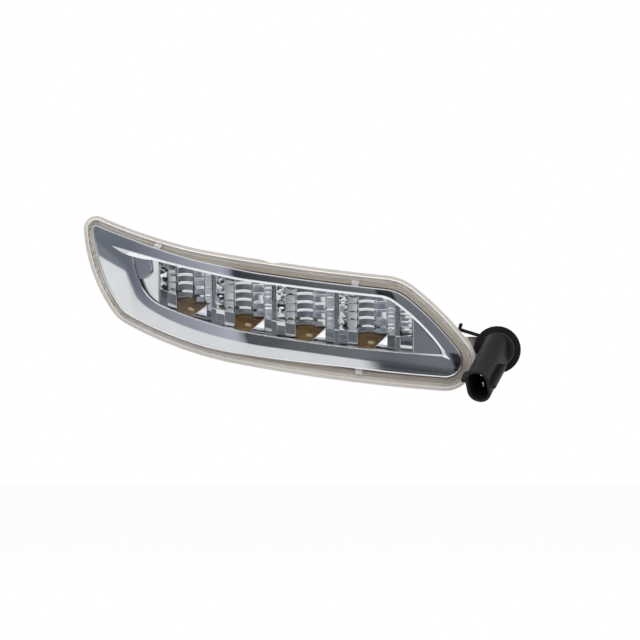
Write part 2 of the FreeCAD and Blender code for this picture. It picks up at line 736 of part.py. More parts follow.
def stadium(width, height, start, length):
    """Upright stadium section drawn along +Z from a start height."""
    radius = width / 2
    reach = height / 2 - radius
    shape = Part.makeBox(width, 2 * reach, length, V(-radius, -reach, start))
    for side in (-1, 1):
        shape = shape.fuse(Part.makeCylinder(radius, length, V(0, side * reach, start)))
    return shape.removeSplitter()


def along_shroud(shape):
    """Carries a shape drawn along +Z with its height along Y onto the slanting shroud."""
    moved = shape.copy()
    moved.Placement = FreeCAD.Placement(SHROUD_ROOT, SHROUD_TURN)
    return moved


def terminal_box(side):
    start = SHROUD_SHIFT.Length - SHROUD_CAVITY - TERMINAL_ROOT
    return Part.makeBox(TERMINAL_THICK, TERMINAL_WIDTH, TERMINAL_LENGTH,
                        V(-TERMINAL_THICK / 2, side * TERMINAL_PITCH / 2 - TERMINAL_WIDTH / 2, start))


def connector_cap():
    length = SHROUD_SHIFT.Length
    flange = rod(TURRET_X, TURRET_Z, CAP_FLANGE_DIA, CAP_FRONT_Y, CAP_BACK_Y)
    hub = rod(TURRET_X, TURRET_Z, HUB_DIA, CAP_FRONT_Y - HUB_LENGTH, CAP_FRONT_Y)
    front = [edge for edge in hub.Edges if edge.BoundBox.YMax < CAP_FRONT_Y - HUB_LENGTH / 2]
    hub = hub.makeFillet(HUB_LENGTH / 4, front)
    spigot_dia = TURRET_BORE - 2 * SPIGOT_PLAY
    spigot = rod(TURRET_X, TURRET_Z, spigot_dia, CAP_BACK_Y, TURRET_FRONT_Y + SPIGOT_LENGTH)
    shroud = along_shroud(stadium(SHROUD_WIDTH, SHROUD_HEIGHT, 0, length))
    shroud = shroud.cut(block(0, 2 * TURRET_X, CAP_BACK_Y, CAP_BACK_Y + DRAW_SPAN, -AXIS_SPAN, AXIS_SPAN))
    rail = Part.makeBox(RAIL_HEIGHT + SHROUD_WALL, RAIL_WIDTH, RAIL_LENGTH,
                        V(SHROUD_WIDTH / 2 - SHROUD_WALL, -RAIL_WIDTH / 2, length - RAIL_LENGTH))
    key = Part.makeBox(KEY_SIZE + SHROUD_WALL, KEY_SIZE, KEY_LENGTH,
                       V(-SHROUD_WIDTH / 2 - KEY_SIZE, SHROUD_HEIGHT / 4 - KEY_SIZE, length - KEY_LENGTH))
    latch = Part.makeBox(LATCH_LENGTH + CAP_FLANGE_DIA / 4, CAP_FLANGE_THICK, LATCH_THICK)
    nib = Part.makeBox(LATCH_THICK, CAP_FLANGE_THICK, LATCH_THICK + LATCH_NIB)
    latch = latch.fuse(nib)
    latch_x = TURRET_X - CAP_FLANGE_DIA / 2 - LATCH_LENGTH + LATCH_OVERLAP
    latch_place = V(latch_x, CAP_FRONT_Y, TURRET_Z + LATCH_RISE)
    latch.Placement = FreeCAD.Placement(latch_place, FreeCAD.Rotation(REAR, LATCH_ANGLE))
    whole = fused([flange, hub, spigot, shroud, along_shroud(rail), along_shroud(key), latch])
    mouth = stadium(SHROUD_WIDTH - 2 * SHROUD_WALL, SHROUD_HEIGHT - 2 * SHROUD_WALL, length - SHROUD_CAVITY,
                    2 * SHROUD_CAVITY)
    whole = whole.cut(along_shroud(mouth))
    for side in (-1, 1):
        whole = whole.cut(along_shroud(terminal_box(side)))
    return whole


def terminal(side):
    return along_shroud(terminal_box(side))


def connector_gasket():
    ring = rod(TURRET_X, TURRET_Z, TURRET_DIA, CAP_BACK_Y, TURRET_FRONT_Y)
    return ring.cut(rod(TURRET_X, TURRET_Z, TURRET_BORE, CAP_BACK_Y, TURRET_FRONT_Y))


def rim_end_x(inset, z):
    """Right end of the lens outline, moved inwards, at a height."""
    level = Part.makeLine(V(APEX_X, 0, z), V(APEX_X + AXIS_SPAN, 0, z))
    return outline_wire(LENS_OUTLINE, inset, 0).distToShape(level)[1][0][0].x


def neck():
    """Front block beside the rim, relieved round the socket, and rear block to the turret."""
    root_x = rim_end_x(BODY_INSET, NECK_TOP)
    front_y = RIM_END_Y + FLANGE_THICK / 2
    face = Part.Face(Part.makePolygon([
        V(root_x, front_y, NECK_BOTTOM), V(NECK_REACH, front_y, NECK_BOTTOM),
        V(NECK_REACH, front_y, NECK_TOP - 2 * NECK_SLOPE), V(NECK_REACH - NECK_SLOPE, front_y, NECK_TOP),
        V(root_x, front_y, NECK_TOP), V(root_x, front_y, NECK_BOTTOM)]))
    front = face.extrude(REAR * (CAP_FRONT_Y - NECK_CLEARANCE - front_y))
    front = front.cut(rod(TURRET_X, TURRET_Z, HUB_DIA + 2 * NECK_CLEARANCE, FAR_FRONT, CAP_FRONT_Y))
    rear = block(root_x, TURRET_X, TURRET_FRONT_Y, TURRET_BACK_Y, NECK_BOTTOM, NECK_TOP)
    turret = rod(TURRET_X, TURRET_Z, TURRET_DIA, TURRET_FRONT_Y, TURRET_BACK_Y)
    return [front, rear, turret]


def housing():
    flange = layer(outline_prism(LENS_OUTLINE, FLANGE_INSET), -FLANGE_THICK, 0)
    body = layer(outline_prism(LENS_OUTLINE, BODY_INSET), -BODY_DEPTH, -FLANGE_THICK / 2)
    back = min((face for face in body.Faces if isinstance(face.Surface, Part.Cylinder)),
               key=lambda face: abs(face.Surface.Radius - SWEEP_RADIUS + BODY_DEPTH))
    body = body.makeFillet(BODY_BACK_ROUND, back.Edges)
    parts = [flange, body] + neck()
    rib_room = outline_prism(LENS_OUTLINE, RIB_INSET)
    rib_room = layer(rib_room, -BODY_DEPTH - RIB_HEIGHT, -BODY_DEPTH + BACK_THICK / 2)
    for i in range(RIB_COUNT):
        x = RIB_FIRST_X + i * RIB_PITCH
        rib = block(x - RIB_THICK / 2, x + RIB_THICK / 2, FAR_FRONT, FAR_FRONT + DRAW_SPAN,
                    -AXIS_SPAN, AXIS_SPAN)
        parts.append(rib_room.common(rib))
    for x, z in BOSS_PLACES:
        parts.append(rod(x, z, BOSS_DIA, rim_y(x, z) + BODY_DEPTH - BACK_THICK / 2, 0))
    parts.append(rod(0, 0, PIN_BOSS_DIA, rim_y(0, 0) + BODY_DEPTH - BACK_THICK / 2, 0))
    vent_y = rim_y(VENT_X, VENT_Z) + BODY_DEPTH
    parts.append(rod(VENT_X, VENT_Z, VENT_TUBE_DIA, vent_y - BACK_THICK / 2, vent_y + VENT_TUBE_LENGTH))
    shell = fused(parts)
    shell = shell.cut(layer(outline_prism(LENS_OUTLINE, CAVITY_INSET), -BODY_DEPTH + BACK_THICK, LENS_RISE))
    shell = shell.cut(layer(groove_ring(), -GROOVE_DEPTH, LENS_RISE))
    shell = shell.cut(rod(TURRET_X, TURRET_Z, TURRET_BORE, TURRET_FRONT_Y, TURRET_BACK_Y - TURRET_FLOOR))
    duct_y = TURRET_BACK_Y - TURRET_FLOOR
    duct = block(rim_end_x(CAVITY_INSET, NECK_TOP), TURRET_X, duct_y - DUCT_HEIGHT, duct_y,
                 TURRET_Z - DUCT_HEIGHT / 2, TURRET_Z + DUCT_HEIGHT / 2)
    posts = []
    for x, z in post_places():
        posts.append(rod(x, z, POST_DIA, BOARD_BACK_Y, rim_y(x, z) + BODY_DEPTH - BACK_THICK / 2))
    pin = rod(0, 0, PIN_DIA, -OVERRUN, PIN_LENGTH)
    tip = [edge for edge in pin.Edges if edge.BoundBox.YMin > PIN_LENGTH / 2]
    shell = fused([shell.cut(duct), pin.makeChamfer(PIN_DIA / 8, tip)] + posts)
    for x, z in post_places():
        shell = shell.cut(rod(x, z, SCREW_DIA, BOARD_BACK_Y, BOARD_BACK_Y + BOARD_GAP))
    for x, z in BOSS_PLACES:
        shell = shell.cut(rod(x, z, BOSS_BORE, -min(BOSS_BORE_DEPTH, -rim_y(x, z) - BODY_DEPTH), 0))
    return shell.cut(rod(VENT_X, VENT_Z, VENT_TUBE_BORE, vent_y - 2 * BACK_THICK, vent_y + VENT_TUBE_LENGTH))


def lead(points):
    """Round lead along straight runs joined by tangent arcs."""
    edges = []
    last = points[0]
    for before, corner, after in zip(points, points[1:], points[2:]):
        back = (before - corner).normalize()
        ahead = (after - corner).normalize()
        half_turn = (math.pi - back.getAngle(ahead)) / 2
        cut_back = LEAD_BEND * math.tan(half_turn)
        centre = corner + (back + ahead).normalize() * (LEAD_BEND / math.cos(half_turn))
        first = corner + back * cut_back
        end = corner + ahead * cut_back
        edges.append(Part.makeLine(last, first))
        edges.append(Part.Arc(first, centre + (corner - centre).normalize() * LEAD_BEND, end).toShape())
        last = end
    edges.append(Part.makeLine(last, points[-1]))
    start = (points[1] - points[0]).normalize()
    section = Part.Wire([Part.makeCircle(LEAD_DIA / 2, points[0], start)])
    return Part.Wire(edges).makePipeShell([section], True, True)


def supply_lead(side):
    """From the socket spigot through the duct to the edge of the driver board."""
    y = (BOARD_FRONT_Y + BOARD_BACK_Y) / 2
    z = TURRET_Z + side * LEAD_PITCH / 2
    rise_x = LEAD_RISE_X + side * LEAD_PITCH / 2
    landing_z = LEAD_LANDING_Z + side * LEAD_PITCH / 2
    return lead([V(TURRET_X, TURRET_FRONT_Y + SPIGOT_LENGTH, z), V(TURRET_X, y, z), V(rise_x, y, z),
                 V(rise_x, y, landing_z), V(BOARD_CENTRE_X + BOARD_LENGTH / 2, y, landing_z)])


def led_lead(side):
    """From the rear edge of the lamp circuit up and back to the face of the driver board."""
    x = LED_LEAD_X + side * LEAD_PITCH / 2
    run = CELL_CORNERS[-1] - CELL_CORNERS[-2]
    share = (x - CELL_CORNERS[-2].x) / CELL_WIDTHS[-1]
    start = CELL_CORNERS[-2] + run * share + V(0, *under_floor(FLEX_REAR - LED_LEAD_MARGIN, 0))
    start.z += LEAD_DIA / 2 * math.tan(FLOOR_SLOPE)
    corner = start + V(0, 0, LED_LEAD_RISE)
    return lead([start, corner, V(x, BOARD_FRONT_Y, corner.z)])


def vent_cap():
    vent_y = rim_y(VENT_X, VENT_Z) + BODY_DEPTH
    end = vent_y + VENT_CAP_LENGTH + VENT_CAP_STANDOFF
    cup = rod(VENT_X, VENT_Z, VENT_CAP_DIA, end - VENT_CAP_LENGTH, end)
    rim = [edge for edge in cup.Edges if edge.BoundBox.YMin > end - VENT_CAP_LENGTH / 2]
    cup = cup.makeChamfer(VENT_CAP_LENGTH / 8, rim)
    return cup.cut(rod(VENT_X, VENT_Z, VENT_TUBE_DIA, end - VENT_CAP_LENGTH, vent_y + VENT_TUBE_LENGTH))


NODES = {
    "outer_lens": outer_lens(),
    "lens_sealant": lens_sealant(),
    "housing": housing(),
    "bezel": bezel(),
    "reflector": reflector(),
    "reflector_screws": reflector_screws(),
    "flex_circuit": flex_circuit(),
    "heat_spreader": heat_spreader(),
    "driver_board": driver_board(),
    "board_screws": board_screws(),
    "driver_chip": driver_chip(),
    "driver_choke": driver_choke(),
    "driver_capacitor": driver_capacitor(),
    "connector_cap": connector_cap(),
    "connector_gasket": connector_gasket(),
    "terminal_1": terminal(-1),
    "terminal_2": terminal(1),
    "supply_lead_1": supply_lead(-1),
    "supply_lead_2": supply_lead(1),
    "led_lead_1": led_lead(-1),
    "led_lead_2": led_lead(1),
    "vent_cap": vent_cap(),
}
for number in range(len(CELL_WIDTHS)):
    NODES["led_%d" % (number + 1)] = led(number)

os.makedirs("parts", exist_ok=True)
for name, shape in NODES.items():
    shape.exportStep("parts/%s.step" % name)
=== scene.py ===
"""Looks of an LED marker lamp: clear lens, chrome bezel, stepped reflector, housing and plug socket.

Sizes are millimetres in the lamp's own frame until a mesh is made, which is in metres.
The lens looks along -Y and Z is up. Outlines are seen from the front as (x, z).
"""
import math

import bmesh
import bpy
import numpy as np
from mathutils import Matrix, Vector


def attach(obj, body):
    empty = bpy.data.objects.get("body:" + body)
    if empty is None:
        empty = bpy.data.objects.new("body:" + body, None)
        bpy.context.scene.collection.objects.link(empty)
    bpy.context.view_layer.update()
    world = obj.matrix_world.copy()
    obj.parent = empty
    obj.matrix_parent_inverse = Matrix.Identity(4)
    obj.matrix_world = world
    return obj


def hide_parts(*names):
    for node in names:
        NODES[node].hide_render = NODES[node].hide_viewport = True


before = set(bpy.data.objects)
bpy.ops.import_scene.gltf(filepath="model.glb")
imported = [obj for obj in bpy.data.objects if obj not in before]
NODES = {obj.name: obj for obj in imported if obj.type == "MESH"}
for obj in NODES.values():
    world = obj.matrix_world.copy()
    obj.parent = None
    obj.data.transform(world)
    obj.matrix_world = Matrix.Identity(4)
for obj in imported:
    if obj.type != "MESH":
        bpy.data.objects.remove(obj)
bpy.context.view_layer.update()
MM = 0.001

# Outlines: corner (x, z), bulge of the side that follows it, corner radius; negative is hollow
LENS_OUTLINE = [
    ((-108.2, 53.0), -2.0, 6.9),
    ((-44.0, 30.6), -1.2, -133.0),
    ((67.0, 15.4), 5.2, 30.0),
    ((122.0, -49.2), 2.6, 16.7),
    ((-23.2, -32.5), 3.0, 170.0),
    ((-89.1, -7.8), 5.9, 20.5),
]
WINDOW_OUTLINE = [
    ((-80.8, 27.6), -0.5, 0.8),
    ((-21.5, 13.4), -0.4, -83.0),
    ((58.6, 3.8), 2.2, 15.7),
    ((90.5, -27.3), 1.8, 0.8),
    ((-22.9, -13.7), 1.3, 60.0),
    ((-71.0, 2.6), 1.7, 22.0),
]
LEAST_CORNER = 0.8
CORNER_STEPS = 12
SIDE_STEPS = 48

# Sweep of every skin
SWEEP_RADIUS = 560.0
SLANT = math.radians(11.0)
APEX_X = 40.0
APEX_Z = -8.8
MOUNT_DEPTH = 54.0

# Meshes: the gap that is welded, and the angle in degrees past which an edge is sharp
WELD = 0.002
SHARP_ANGLE = 35.0
FACET_SHARP_ANGLE = 12.0
NODE_WELD = 0.001
NODE_SHARP_ANGLE = 28.0

# Lens
LENS_RISE = 8.0
LENS_CROWN = 260.0
LENS_THICK = 2.2
LENS_EDGE_ROUND = 2.0
LENS_WALL_INSET = 2.2
LENS_FOOT = 1.4
LENS_TONGUE = 0.9
LENS_ROWS = 41
LENS_EDGE_ROWS = 7
BEAD = 0.6
NOTCH_X = -4.5
NOTCH_WIDTH = 5.0
NOTCH_FLANK = 1.25
NOTCH_DEPTH = 1.0

# Bezel; at its left end it widens between the first and second x of each pair
BEZEL_INSET = 7.4
BEZEL_RISE = 5.0
BEZEL_CROWN = 150.0
BEZEL_THICK = 2.0
BEZEL_EDGE_ROUND = 0.8
BEZEL_EDGE_ROWS = 6
BEZEL_FACE_ROWS = 26
BEZEL_BACK_ROWS = 12
SKIRT_THICK = 2.0
SKIRT_DEPTH = 3.0
LEFT_WIDER = 2.6
WIDER_UPPER = (-15.0, -80.0)
WIDER_LOWER = (35.0, -40.0)

# Lip round the bezel's window, thinner along its lower side
LIP_WIDTH = 1.3
LIP_CREST = 1.0
LIP_RISE = 0.6
LIP_FALL = 0.55
LIP_FADE = 6.0
LIP_RISE_ROWS = 6
LIP_FALL_ROWS = 5
LOWER_LIP = 0.6
LOWER_LIP_FADE = 40.0

# Bright creases: shoulder and ridge are shares of the width, and the shoulder's height a share of the ridge's
CREASE_TIP = (-92.4, 32.7)
CREASE_END = (-62.0, 24.1)
CREASE_WIDTH = 2.8
CREASE_SWELL = 0.8
CREASE_SLOPE = 0.33
CREASE_SEAT = 0.4
CREASE_SHOULDER = 0.12
CREASE_SHOULDER_HEIGHT = 0.8
CREASE_RIDGE = 0.25
CREASE_POINTS = 33
TIP_START_X = 62.0
TIP_END = (93.6, -30.2)
TIP_SHARES = (0.0, 0.15, 0.80, 0.92, 1.0)
TIP_WIDTHS = (0.0, 0.8, 0.9, 2.3, 0.0)

# Clips at the bezel's edge
TAB_WIDTH = 4.0
TAB_THICK = 1.0
TAB_INSET = 4.7
TAB_ROOT = 0.5
TAB_GAP = 0.2
TAB_POINTS = 9
TAB_PLACES = [(-67.4, 33.3), (42.3, 11.6), (43.2, -36.6)]

# Reflector cells and their columns, left to right; the last column is a plain upright groove
CELL_LEFT = -66.0
CELL_WIDTHS = (31.0, 33.3, 34.3, 33.4)
COLUMN_SHARES = (0.14, 0.16, 0.30, 0.19, 0.13, 0.08)
COLUMN_FINE = (1, 1, 1, 1, 2, 1)
COLUMN_SHIFT = (1.4, 2.2, 0.0, -0.6, 0.7, 0.0)
COLUMN_FORWARD = ((4.5, 2.0), (2.0, 0.0), (0.0, 0.0), (0.0, 2.0), (2.0, 4.0))
COLUMN_PILLOW = (0.30, 0.10, 0.0, 0.08, 0.26)
COLUMN_TILT = (0.60, 0.06, 0.03, 0.12, 0.34)
COLUMN_POINTS = 13
CENTRE_COLUMN = 2
CENTRE_ARCH = 0.6
CENTRE_CREASE = 0.22
GROOVE_COLUMN = 5
GROOVE_SETBACK = 11.0
TAIL_COLUMN = 4
TAIL_WIDTH = 7.0
FACET_SEED = 5
DRAWS = 16

# Risers of a column; stations run from -1 at a riser's foot to 1 at its top, where a bar may lean forward
STEP_RISER = 4.15
STEP_RUN = 2.9
STEP_LIFT = 0.35
STEP_COUNT = 5
ROW_BASE = 8.05
TOP_OVERLAP = 2.0
BEZEL_GAP = 0.2
BAR_COLUMNS = (2, 3)
BAR_START = 0.45
BAR_EDGE = 0.01
BAR_LEAN = 0.37
BAR_TURN = 0.07
RISER_STATIONS = (-1.0, -0.67, -0.33, 0.0, BAR_START, BAR_START + BAR_EDGE, 0.72, 1.0)

# Cell floor and lamp windows
BASE_RISE = 1.5
FLOOR_DROP = 1.2
FLOOR_RISE = 9.7
FLOOR_DEPTH = 17.0
PATCH_POINTS = 7
LED_WINDOW_FRONT = 0.9
LED_WINDOW_REAR = 16.4
LED_WINDOW_NARROW = 7.6
LED_WINDOW_WIDE = 16.5
REFLECTOR_WALL = 1.2

# Upright faces at a cell's front
FRONT_SETBACK = 3.0
FRONT_LEAN = 0.28
FRONT_FOLD = 2.0
FRONT_TOP = 8.6
FRONT_ROWS = 4
FRONT_TILT = 0.28
FRONT_ACROSS = 25
FRONT_UP = 13
TRIANGLE_TIP = 0.1

# Smooth panels at both ends of the window, and the shelf in its upper left end
LEFT_END_X = -85.0
LEFT_HEIGHT = 0.6
LEFT_TURN = -0.047
RIGHT_END_X = 94.0
RIGHT_HEIGHT = 1.6
RIGHT_LEAN = 0.05
PANEL_ACROSS = 25
PANEL_UP = 15
LEDGE_TOP = 27.0
LEDGE_FOOT = 14.2
LEDGE_RIGHT = -71.3
LEDGE_FLARE = 1.5
LEDGE_ROUND = 0.45
LEDGE_TUCK = 1.0
LEDGE_GAP = 0.3
LEDGE_ACROSS = 15
LEDGE_UP = 21

# Lamp seats: reach past the window on each side, drop under the floor and turned-up back
TRAY_LEFT = 1.0
TRAY_RIGHT = 2.0
TRAY_FRONT = 0.8
TRAY_REAR = 1.2
TRAY_DROP = 3.0
TRAY_BACK = 5.4
TRAY_WALL = 0.3

# Moulded grain: scales per metre, height in millimetres, and the part of the mottling that is tinted
GRAIN_SCALE = 900.0
GRAIN_DEPTH = 0.1
GRAIN_HEIGHT = 0.2
MOTTLE_SCALE = 40.0
TINT_RANGE = (0.35, 0.65)

# Camera: the photo's middle and width, measured on the plane of the rim
VIEW_CENTRE = (22.0, -8.25)
VIEW_WIDTH = 352.0
VIEW_DISTANCE = 9000.0
VIEW_END = 50000.0
SENSOR = 36.0

# Soft lamps: name, place and power in watts
LAMPS = [("key", (-500.0, -900.0, 900.0), 12.0), ("fill", (700.0, -700.0, 500.0), 6.0)]
LAMP_AIM = (0.0, -40.0, 0.0)
LAMP_SIZE = 900.0

# Stage floor
STAGE_LEVEL = -160.0
STAGE_FRONT = -300.0
STAGE_HALF = 6000.0
STAGE_GREY = 0.93
STAGE_GLOW = 0.95

# Light tent, in degrees of azimuth (left is negative) and height; a pair is the start and end of a soft edge
ROOM_STOPS = [
    (-88, (0.58, 0.60, 0.63)), (-55, (0.44, 0.46, 0.50)), (-42, (0.30, 0.32, 0.36)),
    (-36, (0.17, 0.19, 0.23)), (-26, (0.16, 0.175, 0.21)), (-14.2, (0.47, 0.47, 0.54)),
    (-13.7, (0.04, 0.044, 0.052)), (-2, (0.125, 0.135, 0.15)), (14, (0.20, 0.21, 0.235)),
    (26, (0.23, 0.24, 0.265)), (40, (0.42, 0.43, 0.45)), (52, (0.85, 0.85, 0.86)),
]
ROOM_LEAN = 0.078
PAPER_WHITE = (0.86, 0.86, 0.86)
PAPER_CORNER = (-12.0, -1.5)
PAPER_ROUND = (13.7, 14.3)
PAPER_SLOPE = 1.65
PAPER_SLANT = (-35.0, -36.4)
PAPER_LOW = (-3.0, -6.0)
PAPER_LEFT = (-33.0, -31.0)
PAPER_TABLE = (-13.0, -15.0)
STAND_GREY = (0.055, 0.06, 0.068)
STAND_LEFT = (-1.5, 1.5)
STAND_FOOT = (-32.0, -29.0)
STAND_TOP = (-13.0, -16.0)
FLAG_BLACK = (0.01, 0.01, 0.012)
FLAG_LEFT = (4.6, 5.0)
FLAG_RIGHT = (7.0, 6.7)
FLAG_FOOT = (10.0, 11.0)
DARK_CORNER_LEFT = (10.2, 10.8)
DARK_CORNER_TOP = (-7.0, -8.0)
ROOF_WHITE = (0.9, 0.9, 0.92)
ROOF_EDGE = (23.0, 33.0)
SOFT_LIGHT = (0.62, 0.62, 0.63)
WHITE = (1.0, 1.0, 1.0)

# The backdrop's soft edge, in the Y of a direction of length 1
BACKDROP_EDGE = (0.0, 0.25)


# Outlines, skins and meshes


def side_circle(start, end, bulge):
    """Centre, radius and sign of the arc over a chord; the outside lies to the left of travel."""
    chord = end - start
    length = np.hypot(*chord)
    outward = np.array([-chord[1], chord[0]]) / length
    radius = (length ** 2 / 4 + bulge ** 2) / (2 * abs(bulge))
    sign = math.copysign(1.0, bulge)
    return (start + end) / 2 + outward * (bulge - sign * radius), radius, sign


def circles_meet(centre_a, radius_a, centre_b, radius_b, near):
    """The crossing of two circles that lies nearer to a point."""
    gap = centre_b - centre_a
    reach = np.hypot(*gap)
    along = (radius_a ** 2 - radius_b ** 2 + reach ** 2) / (2 * reach)
    aside = math.sqrt(radius_a ** 2 - along ** 2)
    unit = gap / reach
    normal = np.array([-unit[1], unit[0]])
    crossings = [centre_a + unit * along + normal * aside * turn for turn in (1, -1)]
    return min(crossings, key=lambda point: np.hypot(*(point - near)))


def on_circle(centre, radius, toward):
    """The point of a circle on the ray from its centre through another point."""
    return centre + (toward - centre) / np.hypot(*(toward - centre)) * radius


def arc_points(centre, first, last, count):
    """Points from first up to, but not at, last, evenly spaced in angle the short way round a centre."""
    start = math.atan2(*(first - centre)[::-1])
    turn = math.atan2(*(last - centre)[::-1]) - start
    turn = (turn + math.pi) % (2 * math.pi) - math.pi
    angle = start + turn * np.arange(count) / count
    return centre + np.hypot(*(first - centre)) * np.stack([np.cos(angle), np.sin(angle)], axis=1)


def outline_ring(outline, inset):
    """Closed ring of points on an outline moved inwards.

    Each side is an arc and each corner a circle that rolls on both its sides.
    The ring starts at the middle of the first corner, and the middle of the fourth lies half way round.
    """
    corners = [np.array(place) for place, bulge, radius in outline]
    count = len(corners)
    sides = []
    for i, (place, bulge, radius) in enumerate(outline):
        centre, side_radius, sign = side_circle(corners[i], corners[(i + 1) % count], bulge)
        sides.append((centre, side_radius - sign * inset, sign))
    rounds = []
    for i, (place, bulge, radius) in enumerate(outline):
        turn = max(radius - inset, LEAST_CORNER) if radius > 0 else radius - inset
        before, radius_before, sign_before = sides[i - 1]
        after, radius_after, sign_after = sides[i]
        middle = circles_meet(before, radius_before - sign_before * turn,
                              after, radius_after - sign_after * turn, corners[i])
        first = on_circle(before, radius_before, middle)
        last = on_circle(after, radius_after, middle)
        rounds.append((middle, first, last))
    points = []
    for i in range(count):
        middle, first, last = rounds[i]
        points.append(arc_points(middle, first, last, CORNER_STEPS))
        points.append(arc_points(sides[i][0], last, rounds[(i + 1) % count][1], SIDE_STEPS))
    return np.roll(np.concatenate(points), -CORNER_STEPS // 2, axis=0)


def ring_halves(ring):
    """Lower and upper half of a ring, both from its left tip to its right tip."""
    half = len(ring) // 2
    return np.concatenate([ring[:1], ring[:half - 1:-1]]), ring[:half + 1]


def filled_plan(ring, rows):
    """Plan grid inside a ring: straight columns from its lower to its upper half, pinched at both tips."""
    lower, upper = ring_halves(ring)
    share = np.linspace(0, 1, rows)[:, None, None]
    return lower + (upper - lower) * share


def skin_y(plan, height, crown=None):
    """Depth of the swept skin over plan points (x, z).

    The skin is a cylinder of the sweep radius plus height about the slanting axis.
    With a crown, its radius also falls away along the axis by a circle of that radius.
    """
    x = plan[..., 0] - APEX_X
    z = plan[..., 1] - APEX_Z
    across = x * math.cos(SLANT) - z * math.sin(SLANT)
    along = x * math.sin(SLANT) + z * math.cos(SLANT)
    radius = SWEEP_RADIUS + height
    if crown:
        radius = radius - crown + np.sqrt(crown ** 2 - along ** 2)
    return SWEEP_RADIUS - MOUNT_DEPTH - np.sqrt(radius ** 2 - across ** 2)


def on_skin(plan, height, crown=None, back=0.0):
    """Plan points (x, z) lifted to the skin at a height and then moved back, as points (x, y, z)."""
    return np.stack([plan[..., 0], skin_y(plan, height, crown) + back, plan[..., 1]], axis=-1)


def grid_quads(rows, columns, wrap):
    """Corner numbers of a grid's quads; wrap joins the last column to the first."""
    last = columns if wrap else columns - 1
    row, column = np.meshgrid(np.arange(rows - 1), np.arange(last), indexing="ij")
    following = (column + 1) % columns
    quads = [row * columns + column, row * columns + following,
             (row + 1) * columns + following, (row + 1) * columns + column]
    return np.stack(quads, axis=-1).reshape(-1, 4)


def add_object(name, data):
    """A new object in the scene."""
    item = bpy.data.objects.new(name, data)
    bpy.context.scene.collection.objects.link(item)
    return item


def build_piece(name, grids, materials, sharp=SHARP_ANGLE, finish=None):
    """One mesh from grids of points in millimetres, each given with its wrap, welded where they meet.

    Where there are several materials, finish gives the number of each grid's own.
    """
    points = np.concatenate([grid.reshape(-1, 3) for grid, wrap in grids]) * MM
    starts = np.cumsum([0] + [grid.shape[0] * grid.shape[1] for grid, wrap in grids])
    quads = np.concatenate([grid_quads(*grid.shape[:2], wrap) + start
                            for (grid, wrap), start in zip(grids, starts)])
    mesh = bpy.data.meshes.new(name)
    mesh.from_pydata(points.tolist(), [], quads.tolist())
    for material in materials:
        mesh.materials.append(material)
    if finish:
        counts = [len(grid_quads(*grid.shape[:2], wrap)) for grid, wrap in grids]
        mesh.polygons.foreach_set("material_index", np.repeat(finish, counts).astype(np.int32))
    cage = bmesh.new()
    cage.from_mesh(mesh)
    bmesh.ops.remove_doubles(cage, verts=cage.verts, dist=WELD * MM)
    bmesh.ops.dissolve_degenerate(cage, edges=cage.edges, dist=WELD * MM)
    bmesh.ops.recalc_face_normals(cage, faces=cage.faces)
    cage.to_mesh(mesh)
    cage.free()
    mesh.polygons.foreach_set("use_smooth", np.ones(len(mesh.polygons), bool))
    mesh.set_sharp_from_angle(angle=math.radians(sharp))
    piece = add_object(name, mesh)
    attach(piece, "root")
    return piece


def add_wall(piece, thickness):
    """Turns every face of an open sheet to the side that the lens looks to, and thickens it behind."""
    cage = bmesh.new()
    cage.from_mesh(piece.data)
    cage.normal_update()
    bmesh.ops.reverse_faces(cage, faces=[face for face in cage.faces if face.normal.y > 0])
    cage.to_mesh(piece.data)
    cage.free()
    wall = piece.modifiers.new("wall", "SOLIDIFY")
    wall.thickness = thickness * MM
    wall.offset = -1.0


# Materials


def new_material(name):
    """A material and its node tree, which is empty."""
    material = bpy.data.materials.new(name)
    material.use_nodes = True
    material.node_tree.nodes.clear()
    return material, material.node_tree


def finish_shader(tree, shader):
    """Joins a shader to a new material output."""
    output = tree.nodes.new("ShaderNodeOutputMaterial")
    tree.links.new(shader.outputs[0], output.inputs["Surface"])


def group_socket(group, name, kind, way, value=None):
    """A named socket of a node group, an input with the value it starts at."""
    socket = group.interface.new_socket(name=name, in_out=way, socket_type=kind)
    if value is not None:
        socket.default_value = value


def grain_group():
    """Moulded surface: fine grain as a normal, broad mottling as a mask."""
    group = bpy.data.node_groups.new("moulded_grain", "ShaderNodeTree")
    group_socket(group, "Scale", "NodeSocketFloat", "INPUT", GRAIN_SCALE)
    group_socket(group, "Depth", "NodeSocketFloat", "INPUT", GRAIN_DEPTH)
    group_socket(group, "Mottle Scale", "NodeSocketFloat", "INPUT", MOTTLE_SCALE)
    group_socket(group, "Normal", "NodeSocketVector", "OUTPUT")
    group_socket(group, "Mottle", "NodeSocketFloat", "OUTPUT")
    nodes = group.nodes
    links = group.links
    entry = nodes.new("NodeGroupInput")
    leave = nodes.new("NodeGroupOutput")
    place = nodes.new("ShaderNodeTexCoord")
    grain = nodes.new("ShaderNodeTexNoise")
    grain.inputs["Detail"].default_value = 3.0
    mottle = nodes.new("ShaderNodeTexNoise")
    mottle.inputs["Detail"].default_value = 2.0
    bump = nodes.new("ShaderNodeBump")
    bump.inputs["Distance"].default_value = GRAIN_HEIGHT * MM
    links.new(place.outputs["Object"], grain.inputs["Vector"])
    links.new(place.outputs["Object"], mottle.inputs["Vector"])
    links.new(entry.outputs["Scale"], grain.inputs["Scale"])
    links.new(entry.outputs["Mottle Scale"], mottle.inputs["Scale"])
    links.new(entry.outputs["Depth"], bump.inputs["Strength"])
    links.new(grain.outputs["Fac"], bump.inputs["Height"])
    links.new(bump.outputs["Normal"], leave.inputs["Normal"])
    links.new(mottle.outputs["Fac"], leave.inputs["Mottle"])
    return group


GRAIN = grain_group()


